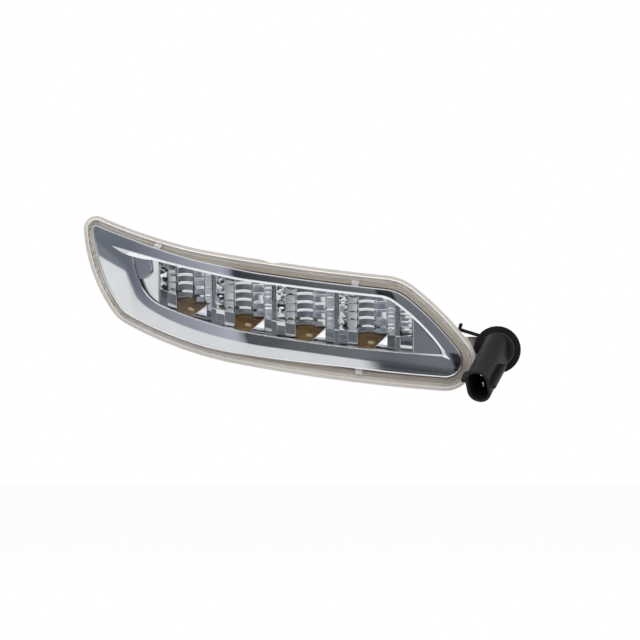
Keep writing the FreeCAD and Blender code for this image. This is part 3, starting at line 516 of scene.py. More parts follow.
def tint_ramp(tree, mask, low, high):
    """Colours a mask from low to high over the tint range."""
    ramp = tree.nodes.new("ShaderNodeValToRGB")
    for stop, position, colour in zip(ramp.color_ramp.elements, TINT_RANGE, (low, high)):
        stop.position = position
        stop.color = (*colour, 1)
    tree.links.new(mask, ramp.inputs["Fac"])
    return ramp.outputs["Color"]


def value_range(tree, mask, low, high):
    """Spreads a mask over a range of values."""
    spread = tree.nodes.new("ShaderNodeMapRange")
    spread.inputs["To Min"].default_value = low
    spread.inputs["To Max"].default_value = high
    tree.links.new(mask, spread.inputs["Value"])
    return spread.outputs["Result"]


def moulded(name, low, high, rough, metallic=0.0, grain=GRAIN_SCALE, depth=GRAIN_DEPTH, mottle=MOTTLE_SCALE,
            specular=0.5):
    """A finish with grain, mottled between two tints, its roughness spread over a range."""
    material, tree = new_material(name)
    surface = tree.nodes.new("ShaderNodeBsdfPrincipled")
    texture = tree.nodes.new("ShaderNodeGroup")
    texture.node_tree = GRAIN
    texture.inputs["Scale"].default_value = grain
    texture.inputs["Depth"].default_value = depth
    texture.inputs["Mottle Scale"].default_value = mottle
    surface.inputs["Metallic"].default_value = metallic
    surface.inputs["Specular IOR Level"].default_value = specular
    tree.links.new(tint_ramp(tree, texture.outputs["Mottle"], low, high), surface.inputs["Base Color"])
    tree.links.new(value_range(tree, texture.outputs["Mottle"], *rough), surface.inputs["Roughness"])
    tree.links.new(texture.outputs["Normal"], surface.inputs["Normal"])
    finish_shader(tree, surface)
    return material


def clear_lens():
    """Polished clear plastic that lets lamp light through to what lies behind it."""
    material, tree = new_material("clear_lens")
    surface = tree.nodes.new("ShaderNodeBsdfPrincipled")
    surface.inputs["Base Color"].default_value = (0.985, 0.99, 0.99, 1)
    surface.inputs["Roughness"].default_value = 0.0
    surface.inputs["IOR"].default_value = 1.49
    surface.inputs["Transmission Weight"].default_value = 1.0
    passing = tree.nodes.new("ShaderNodeBsdfTransparent")
    path = tree.nodes.new("ShaderNodeLightPath")
    mix = tree.nodes.new("ShaderNodeMixShader")
    tree.links.new(path.outputs["Is Shadow Ray"], mix.inputs["Fac"])
    tree.links.new(surface.outputs[0], mix.inputs[1])
    tree.links.new(passing.outputs[0], mix.inputs[2])
    finish_shader(tree, mix)
    return material


def painted_edge_sheen():
    """Painted sheen: a thin pale see-through coat on the lens's rounded edge and side wall, standing in for
    the light they catch.
    """
    material, tree = new_material("lens_edge_painted_sheen")
    surface = tree.nodes.new("ShaderNodeBsdfPrincipled")
    texture = tree.nodes.new("ShaderNodeGroup")
    texture.node_tree = GRAIN
    # pale tint of the painted sheen on the lens edge
    tint = tint_ramp(tree, texture.outputs["Mottle"], (0.72, 0.69, 0.65), (0.78, 0.75, 0.71))
    tree.links.new(tint, surface.inputs["Base Color"])
    surface.inputs["Roughness"].default_value = 0.12
    surface.inputs["Alpha"].default_value = 0.14
    finish_shader(tree, surface)
    return material


LENS_CLEAR = clear_lens()
CHROME = moulded("bezel_chrome", (0.80, 0.81, 0.83), (0.84, 0.85, 0.87), (0.0, 0.015), metallic=1.0,
                 depth=0.0)
LENS_RIM = moulded("lens_rim", (0.44, 0.415, 0.39), (0.48, 0.455, 0.43), (0.25, 0.4), depth=0.03)
LENS_BEAD = moulded("lens_bead", (0.62, 0.585, 0.55), (0.68, 0.645, 0.61), (0.2, 0.3), depth=0.02)
# pale coat of painted sheen for the lens's rounded edge, side wall and tongue
EDGE_SHEEN_PAINT = painted_edge_sheen()
FACET_CHROME = moulded("reflector_chrome", (0.82, 0.83, 0.85), (0.87, 0.88, 0.89), (0.03, 0.07), metallic=1.0,
                       depth=0.0, mottle=120.0)
GREIGE = moulded("housing_greige", (0.41, 0.36, 0.30), (0.44, 0.39, 0.325), (0.38, 0.5), depth=0.05)
SEALANT = moulded("sealant", (0.62, 0.58, 0.52), (0.70, 0.66, 0.60), (0.5, 0.7), grain=500.0, depth=0.2)
BLACK = moulded("socket_black", (0.008, 0.008, 0.009), (0.012, 0.012, 0.013), (0.34, 0.46), grain=1200.0,
                depth=0.12, specular=0.09)
RUBBER = moulded("seal_rubber", (0.012, 0.012, 0.012), (0.02, 0.02, 0.02), (0.6, 0.8), depth=0.2)
AMBER = moulded("flex_amber", (0.13, 0.075, 0.026), (0.19, 0.115, 0.042), (0.25, 0.4), depth=0.05,
                mottle=200.0)
LED_BODY = moulded("led_body", (0.55, 0.46, 0.24), (0.65, 0.57, 0.36), (0.2, 0.3), depth=0.02)
ALUMINIUM = moulded("aluminium", (0.66, 0.67, 0.68), (0.74, 0.75, 0.76), (0.3, 0.45), metallic=1.0)
STEEL = moulded("screw_steel", (0.5, 0.5, 0.5), (0.6, 0.6, 0.6), (0.25, 0.4), metallic=1.0)
BRASS = moulded("terminal_brass", (0.72, 0.6, 0.34), (0.78, 0.67, 0.42), (0.2, 0.32), metallic=1.0)
BOARD = moulded("board_green", (0.02, 0.12, 0.05), (0.03, 0.16, 0.07), (0.3, 0.45), depth=0.05)
DARK = moulded("component_dark", (0.02, 0.02, 0.022), (0.03, 0.03, 0.032), (0.4, 0.55))
LEAD_RED = moulded("lead_red", (0.32, 0.02, 0.015), (0.4, 0.03, 0.02), (0.4, 0.5))
LEAD_BLACK = moulded("lead_black", (0.012, 0.012, 0.012), (0.02, 0.02, 0.02), (0.4, 0.5))

FINISHES = {
    "lens_sealant": SEALANT, "housing": GREIGE, "reflector_screws": STEEL, "flex_circuit": AMBER,
    "heat_spreader": ALUMINIUM, "driver_board": BOARD, "board_screws": STEEL, "driver_chip": DARK,
    "driver_choke": DARK, "driver_capacitor": ALUMINIUM, "connector_cap": BLACK, "connector_gasket": RUBBER,
    "terminal_1": BRASS, "terminal_2": BRASS, "supply_lead_1": LEAD_BLACK, "supply_lead_2": LEAD_RED,
    "led_lead_1": LEAD_BLACK, "led_lead_2": LEAD_RED, "vent_cap": RUBBER,
    "led_1": LED_BODY, "led_2": LED_BODY, "led_3": LED_BODY, "led_4": LED_BODY,
}


def dress_node(name, material):
    """Gives a CAD node its finish, with its facets welded and shaded smooth up to a crease."""
    node = NODES[name]
    node.data.materials.clear()
    node.data.materials.append(material)
    node.data.polygons.foreach_set("use_smooth", np.ones(len(node.data.polygons), bool))
    weld = node.modifiers.new("weld", "WELD")
    weld.merge_threshold = NODE_WELD * MM
    split = node.modifiers.new("crease", "EDGE_SPLIT")
    split.split_angle = math.radians(NODE_SHARP_ANGLE)


# Lens and bezel


def lens_foot():
    """The lens outline with the notch of its foot: a flat floor between two straight flanks."""
    foot = outline_ring(LENS_OUTLINE, 0.0)
    aside = np.abs(foot[:, 0] - NOTCH_X)
    cut = np.clip((NOTCH_WIDTH / 2 + NOTCH_FLANK - aside) / NOTCH_FLANK, 0, 1) * (foot[:, 1] > 0)
    return foot - np.stack([np.zeros_like(cut), cut * NOTCH_DEPTH], axis=1)


def lens_piece():
    """Closed shell: crowned front, rounded edge, side wall, foot with a notch, tongue and crowned inside."""
    inside_rise = LENS_RISE - LENS_THICK
    inside_crown = LENS_CROWN - LENS_THICK
    front = filled_plan(outline_ring(LENS_OUTLINE, LENS_WALL_INSET + LENS_EDGE_ROUND), LENS_ROWS)
    wall = outline_ring(LENS_OUTLINE, LENS_WALL_INSET)
    root = outline_ring(LENS_OUTLINE, LENS_WALL_INSET - BEAD)
    inner = outline_ring(LENS_OUTLINE, LENS_WALL_INSET + LENS_THICK)
    foot = lens_foot()
    edge = []
    for angle in np.linspace(0, math.pi / 2, LENS_EDGE_ROWS):
        plan = outline_ring(LENS_OUTLINE, LENS_WALL_INSET + LENS_EDGE_ROUND * (1 - math.sin(angle)))
        edge.append(on_skin(plan, LENS_RISE, LENS_CROWN, LENS_EDGE_ROUND * (1 - math.cos(angle))))
    bead_top = on_skin(wall, LENS_FOOT + BEAD)
    bead_foot = on_skin(root, LENS_FOOT)
    seat = on_skin(wall, 0)
    rim = [bead_foot, on_skin(foot, LENS_FOOT), on_skin(foot, 0), seat]
    back = [seat, on_skin(wall, -LENS_TONGUE), on_skin(inner, -LENS_TONGUE),
            on_skin(inner, inside_rise, inside_crown)]
    grids = [
        (on_skin(front, LENS_RISE, LENS_CROWN), False),
        (on_skin(filled_plan(inner, LENS_ROWS), inside_rise, inside_crown), False),
        (np.stack(edge + [bead_top]), True),
        (np.stack([bead_top, bead_foot]), True),
        (np.stack(rim), True),
        (np.stack(back), True),
    ]
    # the rounded edge, side wall and tongue take the painted sheen coat
    piece = build_piece("lens_shell", grids, [LENS_CLEAR, LENS_RIM, LENS_BEAD, EDGE_SHEEN_PAINT],
                        finish=[0, 0, 3, 2, 1, 3])
    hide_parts("outer_lens")


def lower_share(count):
    """0 along a ring's upper half and 1 along its lower half, changing over the corners between them."""
    place = np.arange(count)
    return np.clip(np.minimum(place - count / 2, count - place) / CORNER_STEPS, 0, 1)


def lip_ring(out):
    """The window's outline moved outwards, by less along its lower side."""
    ring = outline_ring(WINDOW_OUTLINE, -out)
    thin = outline_ring(WINDOW_OUTLINE, -out * LOWER_LIP)
    return ring + (thin - ring) * lower_share(len(ring))[:, None]


def lip_fade(plan):
    """Share of the lip's height, which dies out towards the window's left tip."""
    fade = LIP_FADE + (LOWER_LIP_FADE - LIP_FADE) * lower_share(len(plan))
    return np.clip(np.hypot(*(plan - np.array(WINDOW_OUTLINE[0][0])).T) / fade, 0, 1)


def bezel_ring(inset):
    """The lens outline moved inwards, but less so at the left end, where the bezel is nearer to the rim."""
    ring = outline_ring(LENS_OUTLINE, inset)
    upper = np.interp(-ring[:, 0], -np.array(WIDER_UPPER), (0, 1))
    lower = np.interp(-ring[:, 0], -np.array(WIDER_LOWER), (0, 1))
    share = upper + (lower - upper) * lower_share(len(ring))
    return ring + (outline_ring(LENS_OUTLINE, inset - LEFT_WIDER) - ring) * share[:, None]


def bezel_section():
    """Rings of the closed section: skirt, rounded edge, crowned face, raised lip, window wall and back."""
    rows = [on_skin(bezel_ring(BEZEL_INSET), -SKIRT_DEPTH)]
    for angle in np.linspace(0, math.pi / 2, BEZEL_EDGE_ROWS):
        plan = bezel_ring(BEZEL_INSET + BEZEL_EDGE_ROUND * (1 - math.cos(angle)))
        rows.append(on_skin(plan, BEZEL_RISE, BEZEL_CROWN, BEZEL_EDGE_ROUND * (1 - math.sin(angle))))
    start = bezel_ring(BEZEL_INSET + BEZEL_EDGE_ROUND)
    end = lip_ring(LIP_WIDTH)
    for share in np.linspace(0, 1, BEZEL_FACE_ROWS)[1:]:
        rows.append(on_skin(start + (end - start) * share, BEZEL_RISE, BEZEL_CROWN))
    for angle in np.linspace(0, math.pi / 2, LIP_RISE_ROWS)[1:]:
        plan = lip_ring(LIP_WIDTH - (LIP_WIDTH - LIP_CREST) * (1 - math.cos(angle)))
        rows.append(on_skin(plan, BEZEL_RISE + LIP_RISE * math.sin(angle) * lip_fade(plan), BEZEL_CROWN))
    for share in np.linspace(0, 1, LIP_FALL_ROWS)[1:]:
        plan = lip_ring(LIP_CREST * (1 - share))
        rows.append(on_skin(plan, BEZEL_RISE + (LIP_RISE - LIP_FALL * share) * lip_fade(plan), BEZEL_CROWN))
    window = outline_ring(WINDOW_OUTLINE, 0)
    inner = bezel_ring(BEZEL_INSET + SKIRT_THICK)
    for share in np.linspace(0, 1, BEZEL_BACK_ROWS):
        plan = window + (inner - window) * share
        rows.append(on_skin(plan, BEZEL_RISE - BEZEL_THICK, BEZEL_CROWN - BEZEL_THICK))
    rows.append(on_skin(inner, -SKIRT_DEPTH))
    return np.stack(rows + rows[:1])


def crease_grid(path, width):
    """Chrome crease along a plan path: a flat that leans inwards from a ridge, closed behind.

    The width is given at each point, and the ridge is CREASE_SLOPE times as high as the crease is wide.
    """
    along = np.gradient(path, axis=0)
    inward = np.stack([along[:, 1], -along[:, 0]], axis=1) / np.hypot(*along.T)[:, None]
    ridge = CREASE_SLOPE * width
    profile = [(0.0, -CREASE_SEAT), (CREASE_SHOULDER, ridge * CREASE_SHOULDER_HEIGHT), (CREASE_RIDGE, ridge),
               (1.0, 0.0), (1.0, -CREASE_SEAT), (0.0, -CREASE_SEAT)]
    rows = []
    for share, height in profile:
        plan = path + inward * (share * width)[:, None]
        rows.append(on_skin(plan, BEZEL_RISE + height, BEZEL_CROWN))
    return np.stack(rows)


def left_crease():
    """Straight crease towards the upper left, its width a half wave of its length raised to CREASE_SWELL."""
    share = np.linspace(0, 1, CREASE_POINTS)
    path = np.array(CREASE_TIP) + (np.array(CREASE_END) - np.array(CREASE_TIP)) * share[:, None]
    return crease_grid(path, CREASE_WIDTH * np.sin(np.pi * share ** CREASE_SWELL))


def tip_crease():
    """Crease along the lip's upper right side and straight on to the right tip, with widths from a table."""
    lip = outline_ring(WINDOW_OUTLINE, -LIP_CREST)
    lip = lip[:len(lip) // 2 - CORNER_STEPS // 2]
    lip = lip[lip[:, 0] > TIP_START_X]
    share = np.linspace(0, 1, CREASE_POINTS)[1:, None]
    path = np.concatenate([lip, lip[-1] + (np.array(TIP_END) - lip[-1]) * share])
    reach = np.cumsum(np.hypot(*np.diff(path, axis=0, prepend=path[:1]).T))
    return crease_grid(path, np.interp(reach / reach[-1], TIP_SHARES, TIP_WIDTHS))


def tab_grid(place):
    """Small flat clip that reaches from under the bezel's edge out over the rim."""
    ring = bezel_ring(BEZEL_INSET)
    nearest = np.argmin(np.hypot(*(ring - np.array(place)).T))
    along = ring[(nearest + 1) % len(ring)] - ring[nearest - 1]
    along = along / np.hypot(*along)
    outward = np.array([-along[1], along[0]])
    side, out = np.meshgrid(np.linspace(-TAB_WIDTH / 2, TAB_WIDTH / 2, TAB_POINTS),
                            [-TAB_ROOT, BEZEL_INSET - TAB_INSET])
    plan = ring[nearest] + side[..., None] * along + out[..., None] * outward
    front = on_skin(plan, TAB_THICK)
    back = on_skin(plan, TAB_GAP)
    return np.concatenate([back[:1], front, back[1:], back[:1]])


def bezel_piece():
    """The bezel's closed section with its two creases and its clips."""
    grids = [(bezel_section(), True), (left_crease(), False), (tip_crease(), False)]
    grids += [(tab_grid(place), False) for place in TAB_PLACES]
    piece = build_piece("bezel_shell", grids, [CHROME, LENS_BEAD], finish=[0, 0, 0, 1, 1, 1])
    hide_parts("bezel")


# Reflector and lamp seats


def window_edges(x):
    """Heights of the window's lower and upper edge at x."""
    lower, upper = ring_halves(outline_ring(WINDOW_OUTLINE, 0))
    return np.interp(x, lower[:, 0], lower[:, 1]), np.interp(x, upper[:, 0], upper[:, 1])


def cell_corners():
    """Foot points of the reflector cells along the window's lower edge, left to right."""
    x = CELL_LEFT + np.concatenate([[0], np.cumsum(CELL_WIDTHS)])
    plan = np.stack([x, window_edges(x)[0]], axis=1)
    return on_skin(plan, 0, back=-BASE_RISE)


def floor_height(setback):
    """Height of the floor above the lip at a distance behind it."""
    return setback * FLOOR_RISE / FLOOR_DEPTH - FLOOR_DROP


def under_bezel(points):
    """Points moved back where they would come through the bezel, and down where they would rise past it."""
    plan = points[..., [0, 2]]
    limit = skin_y(plan, BEZEL_RISE - BEZEL_THICK - BEZEL_GAP, BEZEL_CROWN - BEZEL_THICK)
    top = np.minimum(points[..., 2], window_edges(points[..., 0])[1] + TOP_OVERLAP)
    return np.stack([points[..., 0], np.maximum(points[..., 1], limit), top], axis=-1)


def riser_depth(number, a, i, b, draws, half_width):
    """Distance of a column's risers behind the lip, each riser i one run nearer than the one below it.

    Across is a and up each riser b, both in -1..1. The pillow stands proud by (1 - a^2)(1 - b^2).
    Each riser is tilted along a and b by its own draws. A bar leans forward and turns left above BAR_START.
    """
    near, far = COLUMN_FORWARD[number]
    fine = COLUMN_FINE[number]
    forward = near + (far - near) * (a + 1) / 2
    pillow = COLUMN_PILLOW[number] * (1 - a ** 2) * (1 - b ** 2)
    tilt = COLUMN_TILT[number] * (draws[0] * a + draws[1] * b)
    depth = FLOOR_DEPTH - i * STEP_RUN / fine - forward + (tilt - pillow) / fine
    if number == CENTRE_COLUMN:
        depth = depth - CENTRE_CREASE * (1 - np.abs(a))
    if number in BAR_COLUMNS:
        turn = BAR_TURN * half_width
        depth = depth - (b > BAR_START) * ((b - BAR_START) * BAR_LEAN + a * turn)
    return depth


def column_grid(start, end, number, draws):
    """One reflector column: level rows of risers that step forward as they climb, or the upright groove.

    The rows of the centre column are arched by 1 - a^2.
    """
    fine = COLUMN_FINE[number]
    lowest = 0 if number in BAR_COLUMNS else -1
    step = np.arange(lowest, (STEP_COUNT + 1) * fine + 1)
    a, i, b = np.meshgrid(np.linspace(-1, 1, COLUMN_POINTS), step, RISER_STATIONS, indexing="ij")
    height = ROW_BASE + (i * (STEP_RISER + STEP_LIFT) + (b + 1) / 2 * STEP_RISER) / fine
    height = height - COLUMN_SHIFT[number]
    if number == CENTRE_COLUMN:
        height = height + CENTRE_ARCH * (1 - a ** 2)
    if number == GROOVE_COLUMN:
        depth = np.full_like(height, GROOVE_SETBACK)
    else:
        depth = riser_depth(number, a, i, b, draws[:, None, step + 1, None], (end[0] - start[0]) / 2)
    foot = start + (end - start) * ((a + 1) / 2)[..., None]
    foot[..., 1:] = (start[1:] + end[1:]) / 2
    points = foot + np.stack([np.zeros_like(a), depth, height], axis=-1)
    return under_bezel(points.reshape(COLUMN_POINTS, -1, 3))


def floor_patch(start, end, corners):
    """Floor between two feet: a bilinear patch over four corners given as (share along, setback)."""
    u, v = np.meshgrid(np.linspace(0, 1, PATCH_POINTS), np.linspace(0, 1, PATCH_POINTS), indexing="ij")
    front = corners[0] + (corners[1] - corners[0]) * u[..., None]
    rear = corners[3] + (corners[2] - corners[3]) * u[..., None]
    spot = front + (rear - front) * v[..., None]
    foot = start + (end - start) * spot[..., :1]
    return foot + np.stack([np.zeros_like(u), spot[..., 1], floor_height(spot[..., 1])], axis=-1)


def led_rim(width):
    """Corners of a cell's lamp window as (share along, setback): front left, front right, then the rear."""
    left = sum(COLUMN_SHARES[:CENTRE_COLUMN])
    return np.array([(left, LED_WINDOW_FRONT), (left + LED_WINDOW_NARROW / width, LED_WINDOW_FRONT),
                     (left + LED_WINDOW_WIDE / width, LED_WINDOW_REAR), (left, LED_WINDOW_REAR)])


def level_face(low, high):
    """Heights of a front face whose low and high edge are the same at both its sides."""
    return (low, high), (low, high)


def front_panel(start, end, shares, heights, lean, chance=None):
    """Upright face at a cell's front between two shares of its length, its top leaning forward.

    Heights gives the low and high edge at each share, measured from the window's lower edge.
    With chance, the face is cut into rows of small facets, each tilted by a (across) and b (up) in -1..1.
    """
    rows = FRONT_ROWS if chance else 1
    a, row, b = np.meshgrid(np.linspace(-1, 1, FRONT_ACROSS), np.arange(rows), np.linspace(-1, 1, FRONT_UP),
                            indexing="ij")
    u = (a + 1) / 2
    v = (row + (b + 1) / 2) / rows
    share = shares[0] + (shares[1] - shares[0]) * u
    (low_0, high_0), (low_1, high_1) = heights
    low = low_0 + (low_1 - low_0) * u
    height = low + (high_0 + (high_1 - high_0) * u - low) * v
    setback = FRONT_SETBACK - lean * (height + FLOOR_DROP)
    if chance:
        across, up = chance.uniform(-1, 1, (2, 1, rows, 1))
        setback = setback + FRONT_TILT * (across * a + up * b)
    foot = start + (end - start) * share[..., None]
    foot[..., 1] = (start[1] + end[1]) / 2
    return (foot + np.stack([np.zeros_like(u), setback, height], axis=-1)).reshape(FRONT_ACROSS, -1, 3)


def cell_front(start, end, width, chance):
    """Faces round a cell's lamp window: bright leaning feet, uprights, a bright triangle and front floor."""
    left, narrow, wide = led_rim(width)[:3, 0]
    first = COLUMN_SHARES[0]
    groove = 1 - COLUMN_SHARES[GROOVE_COLUMN]
    foot = -FLOOR_DROP
    full = level_face(foot, FRONT_TOP)
    triangle = ((foot, foot + TRIANGLE_TIP), (foot, FRONT_TOP))
    front_floor = np.array([(0, 0), (1, 0), (narrow, LED_WINDOW_FRONT), (left, LED_WINDOW_FRONT)])
    return [
        front_panel(start, end, (0, first), full, 0, chance),
        front_panel(start, end, (first, left), level_face(foot, FRONT_FOLD), FRONT_LEAN),
        front_panel(start, end, (first, left), level_face(FRONT_FOLD, FRONT_TOP), 0),
        front_panel(start, end, (narrow, wide), triangle, FRONT_LEAN),
        front_panel(start, end, (wide, groove), full, 0, chance),
        front_panel(start, end, (groove, 1), full, 0),
        floor_patch(start, end, front_floor),
    ]


def end_panel(first_x, last_x, height, turn, lean):
    """Smooth face at one end of the window, on the sweep but for a turn along x and a lean up z."""
    x = np.linspace(first_x, last_x, PANEL_ACROSS)
    low, high = window_edges(x)
    up = np.linspace(0, 1, PANEL_UP)[:, None]
    z = low - TOP_OVERLAP + (high - low + 2 * TOP_OVERLAP) * up
    plan = np.stack([np.broadcast_to(x, z.shape), z], axis=-1)
    back = turn * (x - last_x) + lean * (z - low + TOP_OVERLAP)
    return under_bezel(on_skin(plan, height, back=back))


def ledge_grid():
    """Flat shelf in the window's upper left end, parallel to the bezel, its free corner a quarter ellipse."""
    ring = outline_ring(WINDOW_OUTLINE, 0)
    left_side = ring[len(ring) // 2:][::-1]
    v = np.linspace(0, 1, LEDGE_UP)
    z = LEDGE_TOP + (LEDGE_FOOT - LEDGE_TOP) * v
    left = np.interp(-z, -left_side[:, 1], left_side[:, 0]) - LEDGE_TUCK
    turn = np.clip((v - 1 + LEDGE_ROUND) / LEDGE_ROUND, 0, 1)
    right = left + (LEDGE_RIGHT + LEDGE_FLARE * v - left) * np.sqrt(1 - turn ** 2)
    x = left[:, None] + (right - left)[:, None] * np.linspace(0, 1, LEDGE_ACROSS)
    plan = np.stack([x, np.broadcast_to(z[:, None], x.shape)], axis=-1)
    return on_skin(plan, BEZEL_RISE - BEZEL_THICK - LEDGE_GAP, BEZEL_CROWN)


def reflector_piece():
    """Four cells of stepped columns and fronts, a last column, smooth end panels and the left shelf."""
    chance = np.random.default_rng(FACET_SEED)
    corners = cell_corners()
    sheets = []
    for start, end, width in zip(corners, corners[1:], CELL_WIDTHS):
        done = 0.0
        for number, share in enumerate(COLUMN_SHARES):
            draws = chance.uniform(-1, 1, (2, DRAWS))
            left = start + (end - start) * done
            right = start + (end - start) * (done + share)
            sheets.append(column_grid(left, right, number, draws))
            done += share
        sheets += cell_front(start, end, width, chance)
    tail = corners[-1] + (corners[-1] - corners[-2]) * TAIL_WIDTH / CELL_WIDTHS[-1]
    draws = chance.uniform(-1, 1, (2, DRAWS))
    sheets += [
        column_grid(corners[-1], tail, TAIL_COLUMN, draws),
        front_panel(corners[-1], tail, (0, 1), level_face(-FLOOR_DROP, FRONT_TOP), 0, chance),
        end_panel(LEFT_END_X, corners[0][0], LEFT_HEIGHT, LEFT_TURN, 0),
        end_panel(tail[0], RIGHT_END_X, RIGHT_HEIGHT, 0, RIGHT_LEAN),
        ledge_grid(),
    ]
    piece = build_piece("reflector_facets", [(sheet, False) for sheet in sheets], [FACET_CHROME],
                        sharp=FACET_SHARP_ANGLE)
    add_wall(piece, REFLECTOR_WALL)
    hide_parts("reflector")


def lamp_trays():
    """Amber seats of the lamp circuit that fill the lamp windows under the floor, turned up behind."""
    corners = cell_corners()
    grids = []
    for start, end, width in zip(corners, corners[1:], CELL_WIDTHS):
        left = -TRAY_LEFT / width
        right = TRAY_RIGHT / width
        grow = np.array([(left, -TRAY_FRONT), (right, -TRAY_FRONT), (right, TRAY_REAR), (left, TRAY_REAR)])
        tray = floor_patch(start, end, led_rim(width) + grow) - np.array([0, 0, TRAY_DROP])
        back = tray[:, -1:] + np.array([0, 0, TRAY_BACK])
        grids.append((np.concatenate([tray, back], axis=1), False))
    piece = build_piece("lamp_trays", grids, [AMBER])
    add_wall(piece, TRAY_WALL)


# Stage


def math_node(tree, operation, first, second=None):
    """A maths node on a socket and, where it takes a second value, on a plain number or another socket."""
    node = tree.nodes.new("ShaderNodeMath")
    node.operation = operation
    tree.links.new(first, node.inputs[0])
    if isinstance(second, float):
        node.inputs[1].default_value = second
    elif second is not None:
        tree.links.new(second, node.inputs[1])
    return node.outputs[0]


def map_step(tree, value, edge):
    """Smooth rise from 0 at an edge's start to 1 at its end."""
    step = tree.nodes.new("ShaderNodeMapRange")
    step.interpolation_type = "SMOOTHSTEP"
    step.inputs["From Min"].default_value = edge[0]
    step.inputs["From Max"].default_value = edge[1]
    tree.links.new(value, step.inputs["Value"])
    return step.outputs["Result"]


def angle_step(tree, angle, edge):
    """Smooth rise from 0 to 1 over an edge given in degrees."""
    return map_step(tree, angle, [math.radians(degrees) for degrees in edge])


def past(tree, angle, limit):
    """How far an angle lies below a limit in degrees, or 0 above it."""
    gap = math_node(tree, "SUBTRACT", angle, math.radians(limit))
    return math_node(tree, "ABSOLUTE", math_node(tree, "MINIMUM", gap, 0.0))


def all_of(tree, *masks):
    """Product of masks."""
    product = masks[0]
    for mask in masks[1:]:
        product = math_node(tree, "MULTIPLY", product, mask)
    return product


def mix_colour(tree, share, low, high):
    """Mixes two colours, each a socket or a plain tuple."""
    mix = tree.nodes.new("ShaderNodeMix")
    mix.data_type = "RGBA"
    tree.links.new(share, mix.inputs["Factor"])
    for socket, colour in ((mix.inputs["A"], low), (mix.inputs["B"], high)):
        if isinstance(colour, tuple):
            socket.default_value = (*colour, 1)
        else:
            tree.links.new(colour, socket)
    return mix.outputs["Result"]


def room_colour(tree, azimuth, height):
    """Colours of the room by azimuth, its upright edges leaning with height."""
    lean = math_node(tree, "MULTIPLY", height, ROOM_LEAN)
    spread = tree.nodes.new("ShaderNodeMapRange")
    spread.inputs["From Min"].default_value = -math.pi / 2
    spread.inputs["From Max"].default_value = math.pi / 2
    tree.links.new(math_node(tree, "SUBTRACT", azimuth, lean), spread.inputs["Value"])
    room = tree.nodes.new("ShaderNodeValToRGB")
    tree.links.new(spread.outputs["Result"], room.inputs["Fac"])
    stops = room.color_ramp.elements
    for number, (degrees, colour) in enumerate(ROOM_STOPS):
        position = (degrees + 90) / 180
        stop = stops[number] if number < len(stops) else stops.new(position)
        stop.position = position
        stop.color = (*colour, 1)
    return room.outputs["Color"]


def paper_mask(tree, azimuth, height):
    """White paper below and left of the lamp: outside a rounded corner, under a slant, cut off far left."""
    side = past(tree, azimuth, PAPER_CORNER[0])
    drop = past(tree, height, PAPER_CORNER[1])
    squares = math_node(tree, "ADD", all_of(tree, side, side), all_of(tree, drop, drop))
    corner = math_node(tree, "SQRT", squares)
    slope = math_node(tree, "ADD", height, math_node(tree, "MULTIPLY", azimuth, PAPER_SLOPE))
    under = math_node(tree, "MAXIMUM", angle_step(tree, slope, PAPER_SLANT),
                      angle_step(tree, height, PAPER_LOW))
    sheet = math_node(tree, "MAXIMUM", angle_step(tree, azimuth, PAPER_LEFT),
                      angle_step(tree, height, PAPER_TABLE))
    return all_of(tree, angle_step(tree, corner, PAPER_ROUND), under, sheet)


def set_world():
    """Light tent that only mirrors and glass see; matt surfaces get plain soft light and the camera white.

    Azimuth is atan2(x, -y) and height is asin(z) of the direction looked in.
    """
    world = bpy.data.worlds.new("studio")
    bpy.context.scene.world = world
    world.use_nodes = True
    tree = world.node_tree
    tree.nodes.clear()
    place = tree.nodes.new("ShaderNodeTexCoord")
    parts = tree.nodes.new("ShaderNodeSeparateXYZ")
    tree.links.new(place.outputs["Generated"], parts.inputs[0])
    toward = math_node(tree, "MULTIPLY", parts.outputs["Y"], -1.0)
    azimuth = math_node(tree, "ARCTAN2", parts.outputs["X"], toward)
    height = math_node(tree, "ARCSINE", parts.outputs["Z"])
    stand = all_of(tree, angle_step(tree, azimuth, STAND_LEFT), angle_step(tree, height, STAND_FOOT),
                   angle_step(tree, height, STAND_TOP))
    flag = all_of(tree, angle_step(tree, azimuth, FLAG_LEFT), angle_step(tree, azimuth, FLAG_RIGHT),
                  angle_step(tree, height, FLAG_FOOT))
    dark_corner = all_of(tree, angle_step(tree, azimuth, DARK_CORNER_LEFT),
                         angle_step(tree, height, DARK_CORNER_TOP))
    colour = room_colour(tree, azimuth, height)
    colour = mix_colour(tree, paper_mask(tree, azimuth, height), colour, PAPER_WHITE)
    colour = mix_colour(tree, stand, colour, STAND_GREY)
    colour = mix_colour(tree, math_node(tree, "MAXIMUM", flag, dark_corner), colour, FLAG_BLACK)
    colour = mix_colour(tree, angle_step(tree, height, ROOF_EDGE), colour, ROOF_WHITE)
    colour = mix_colour(tree, map_step(tree, parts.outputs["Y"], BACKDROP_EDGE), colour, WHITE)
    path = tree.nodes.new("ShaderNodeLightPath")
    seen = math_node(tree, "MAXIMUM", path.outputs["Is Glossy Ray"], path.outputs["Is Transmission Ray"])
    colour = mix_colour(tree, seen, SOFT_LIGHT, colour)
    colour = mix_colour(tree, path.outputs["Is Camera Ray"], colour, WHITE)
    shade = tree.nodes.new("ShaderNodeBackground")
    output = tree.nodes.new("ShaderNodeOutputWorld")
    tree.links.new(colour, shade.inputs["Color"])
    tree.links.new(shade.outputs[0], output.inputs["Surface"])


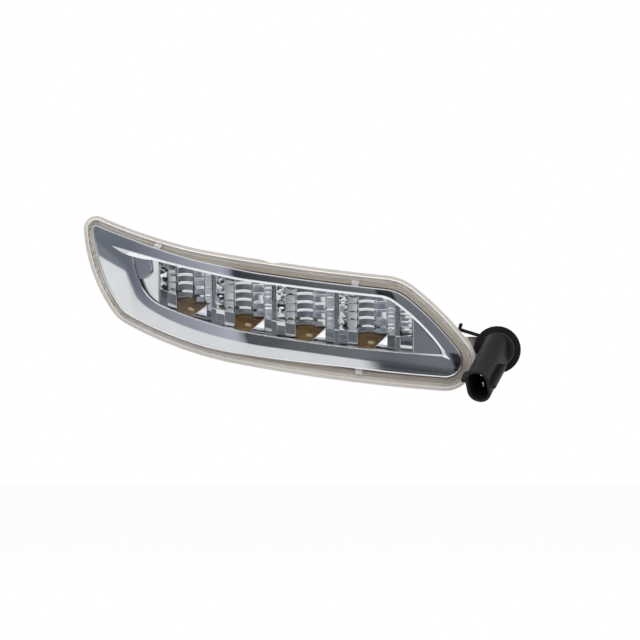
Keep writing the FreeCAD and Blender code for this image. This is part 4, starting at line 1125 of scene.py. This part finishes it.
def add_floor():
    """Pale floor that keeps the lamp's shadow and lifts to white for the camera."""
    material, tree = new_material("pale_floor")
    matt = tree.nodes.new("ShaderNodeBsdfDiffuse")
    matt.inputs["Color"].default_value = (STAGE_GREY, STAGE_GREY, STAGE_GREY, 1)
    glow = tree.nodes.new("ShaderNodeEmission")
    path = tree.nodes.new("ShaderNodeLightPath")
    mix = tree.nodes.new("ShaderNodeMixShader")
    tree.links.new(math_node(tree, "MULTIPLY", path.outputs["Is Camera Ray"], STAGE_GLOW), mix.inputs["Fac"])
    tree.links.new(matt.outputs[0], mix.inputs[1])
    tree.links.new(glow.outputs[0], mix.inputs[2])
    finish_shader(tree, mix)
    corners = np.array([(-STAGE_HALF, STAGE_FRONT, STAGE_LEVEL), (STAGE_HALF, STAGE_FRONT, STAGE_LEVEL),
                        (STAGE_HALF, STAGE_HALF, STAGE_LEVEL), (-STAGE_HALF, STAGE_HALF, STAGE_LEVEL)])
    mesh = bpy.data.meshes.new("floor")
    mesh.from_pydata((corners * MM).tolist(), [], [(0, 1, 2, 3)])
    mesh.materials.append(material)
    floor = add_object("floor", mesh)


def add_lamp(name, place, power):
    """Soft square lamp at a place, facing the marker lamp; mirrors show the tent instead of it."""
    data = bpy.data.lights.new(name, "AREA")
    data.size = LAMP_SIZE * MM
    data.energy = power
    lamp = add_object(name, data)
    spot = np.array(place) * MM
    lamp.location = spot
    toward = Vector(np.array(LAMP_AIM) * MM - spot)
    lamp.rotation_mode = "QUATERNION"
    lamp.rotation_quaternion = toward.to_track_quat("-Z", "Y")
    lamp.visible_glossy = False
    lamp.visible_transmission = False


def add_camera():
    """Long lens straight in front, so that the photo's plane is the plane of the rim."""
    data = bpy.data.cameras.new("camera")
    data.sensor_width = SENSOR
    data.lens = SENSOR * VIEW_DISTANCE / VIEW_WIDTH
    data.clip_end = VIEW_END * MM
    camera = add_object("camera", data)
    camera.location = (VIEW_CENTRE[0] * MM, (-MOUNT_DEPTH - VIEW_DISTANCE) * MM, VIEW_CENTRE[1] * MM)
    camera.rotation_euler = (math.pi / 2, 0, 0)
    bpy.context.scene.camera = camera


# The lamp's nodes and pieces, then the stage
for node_name, finish in FINISHES.items():
    dress_node(node_name, finish)
lens_piece()
bezel_piece()
reflector_piece()
lamp_trays()
add_floor()
set_world()
for lamp_name, lamp_place, lamp_power in LAMPS:
    add_lamp(lamp_name, lamp_place, lamp_power)
add_camera()
bpy.context.scene.view_settings.view_transform = "Standard"
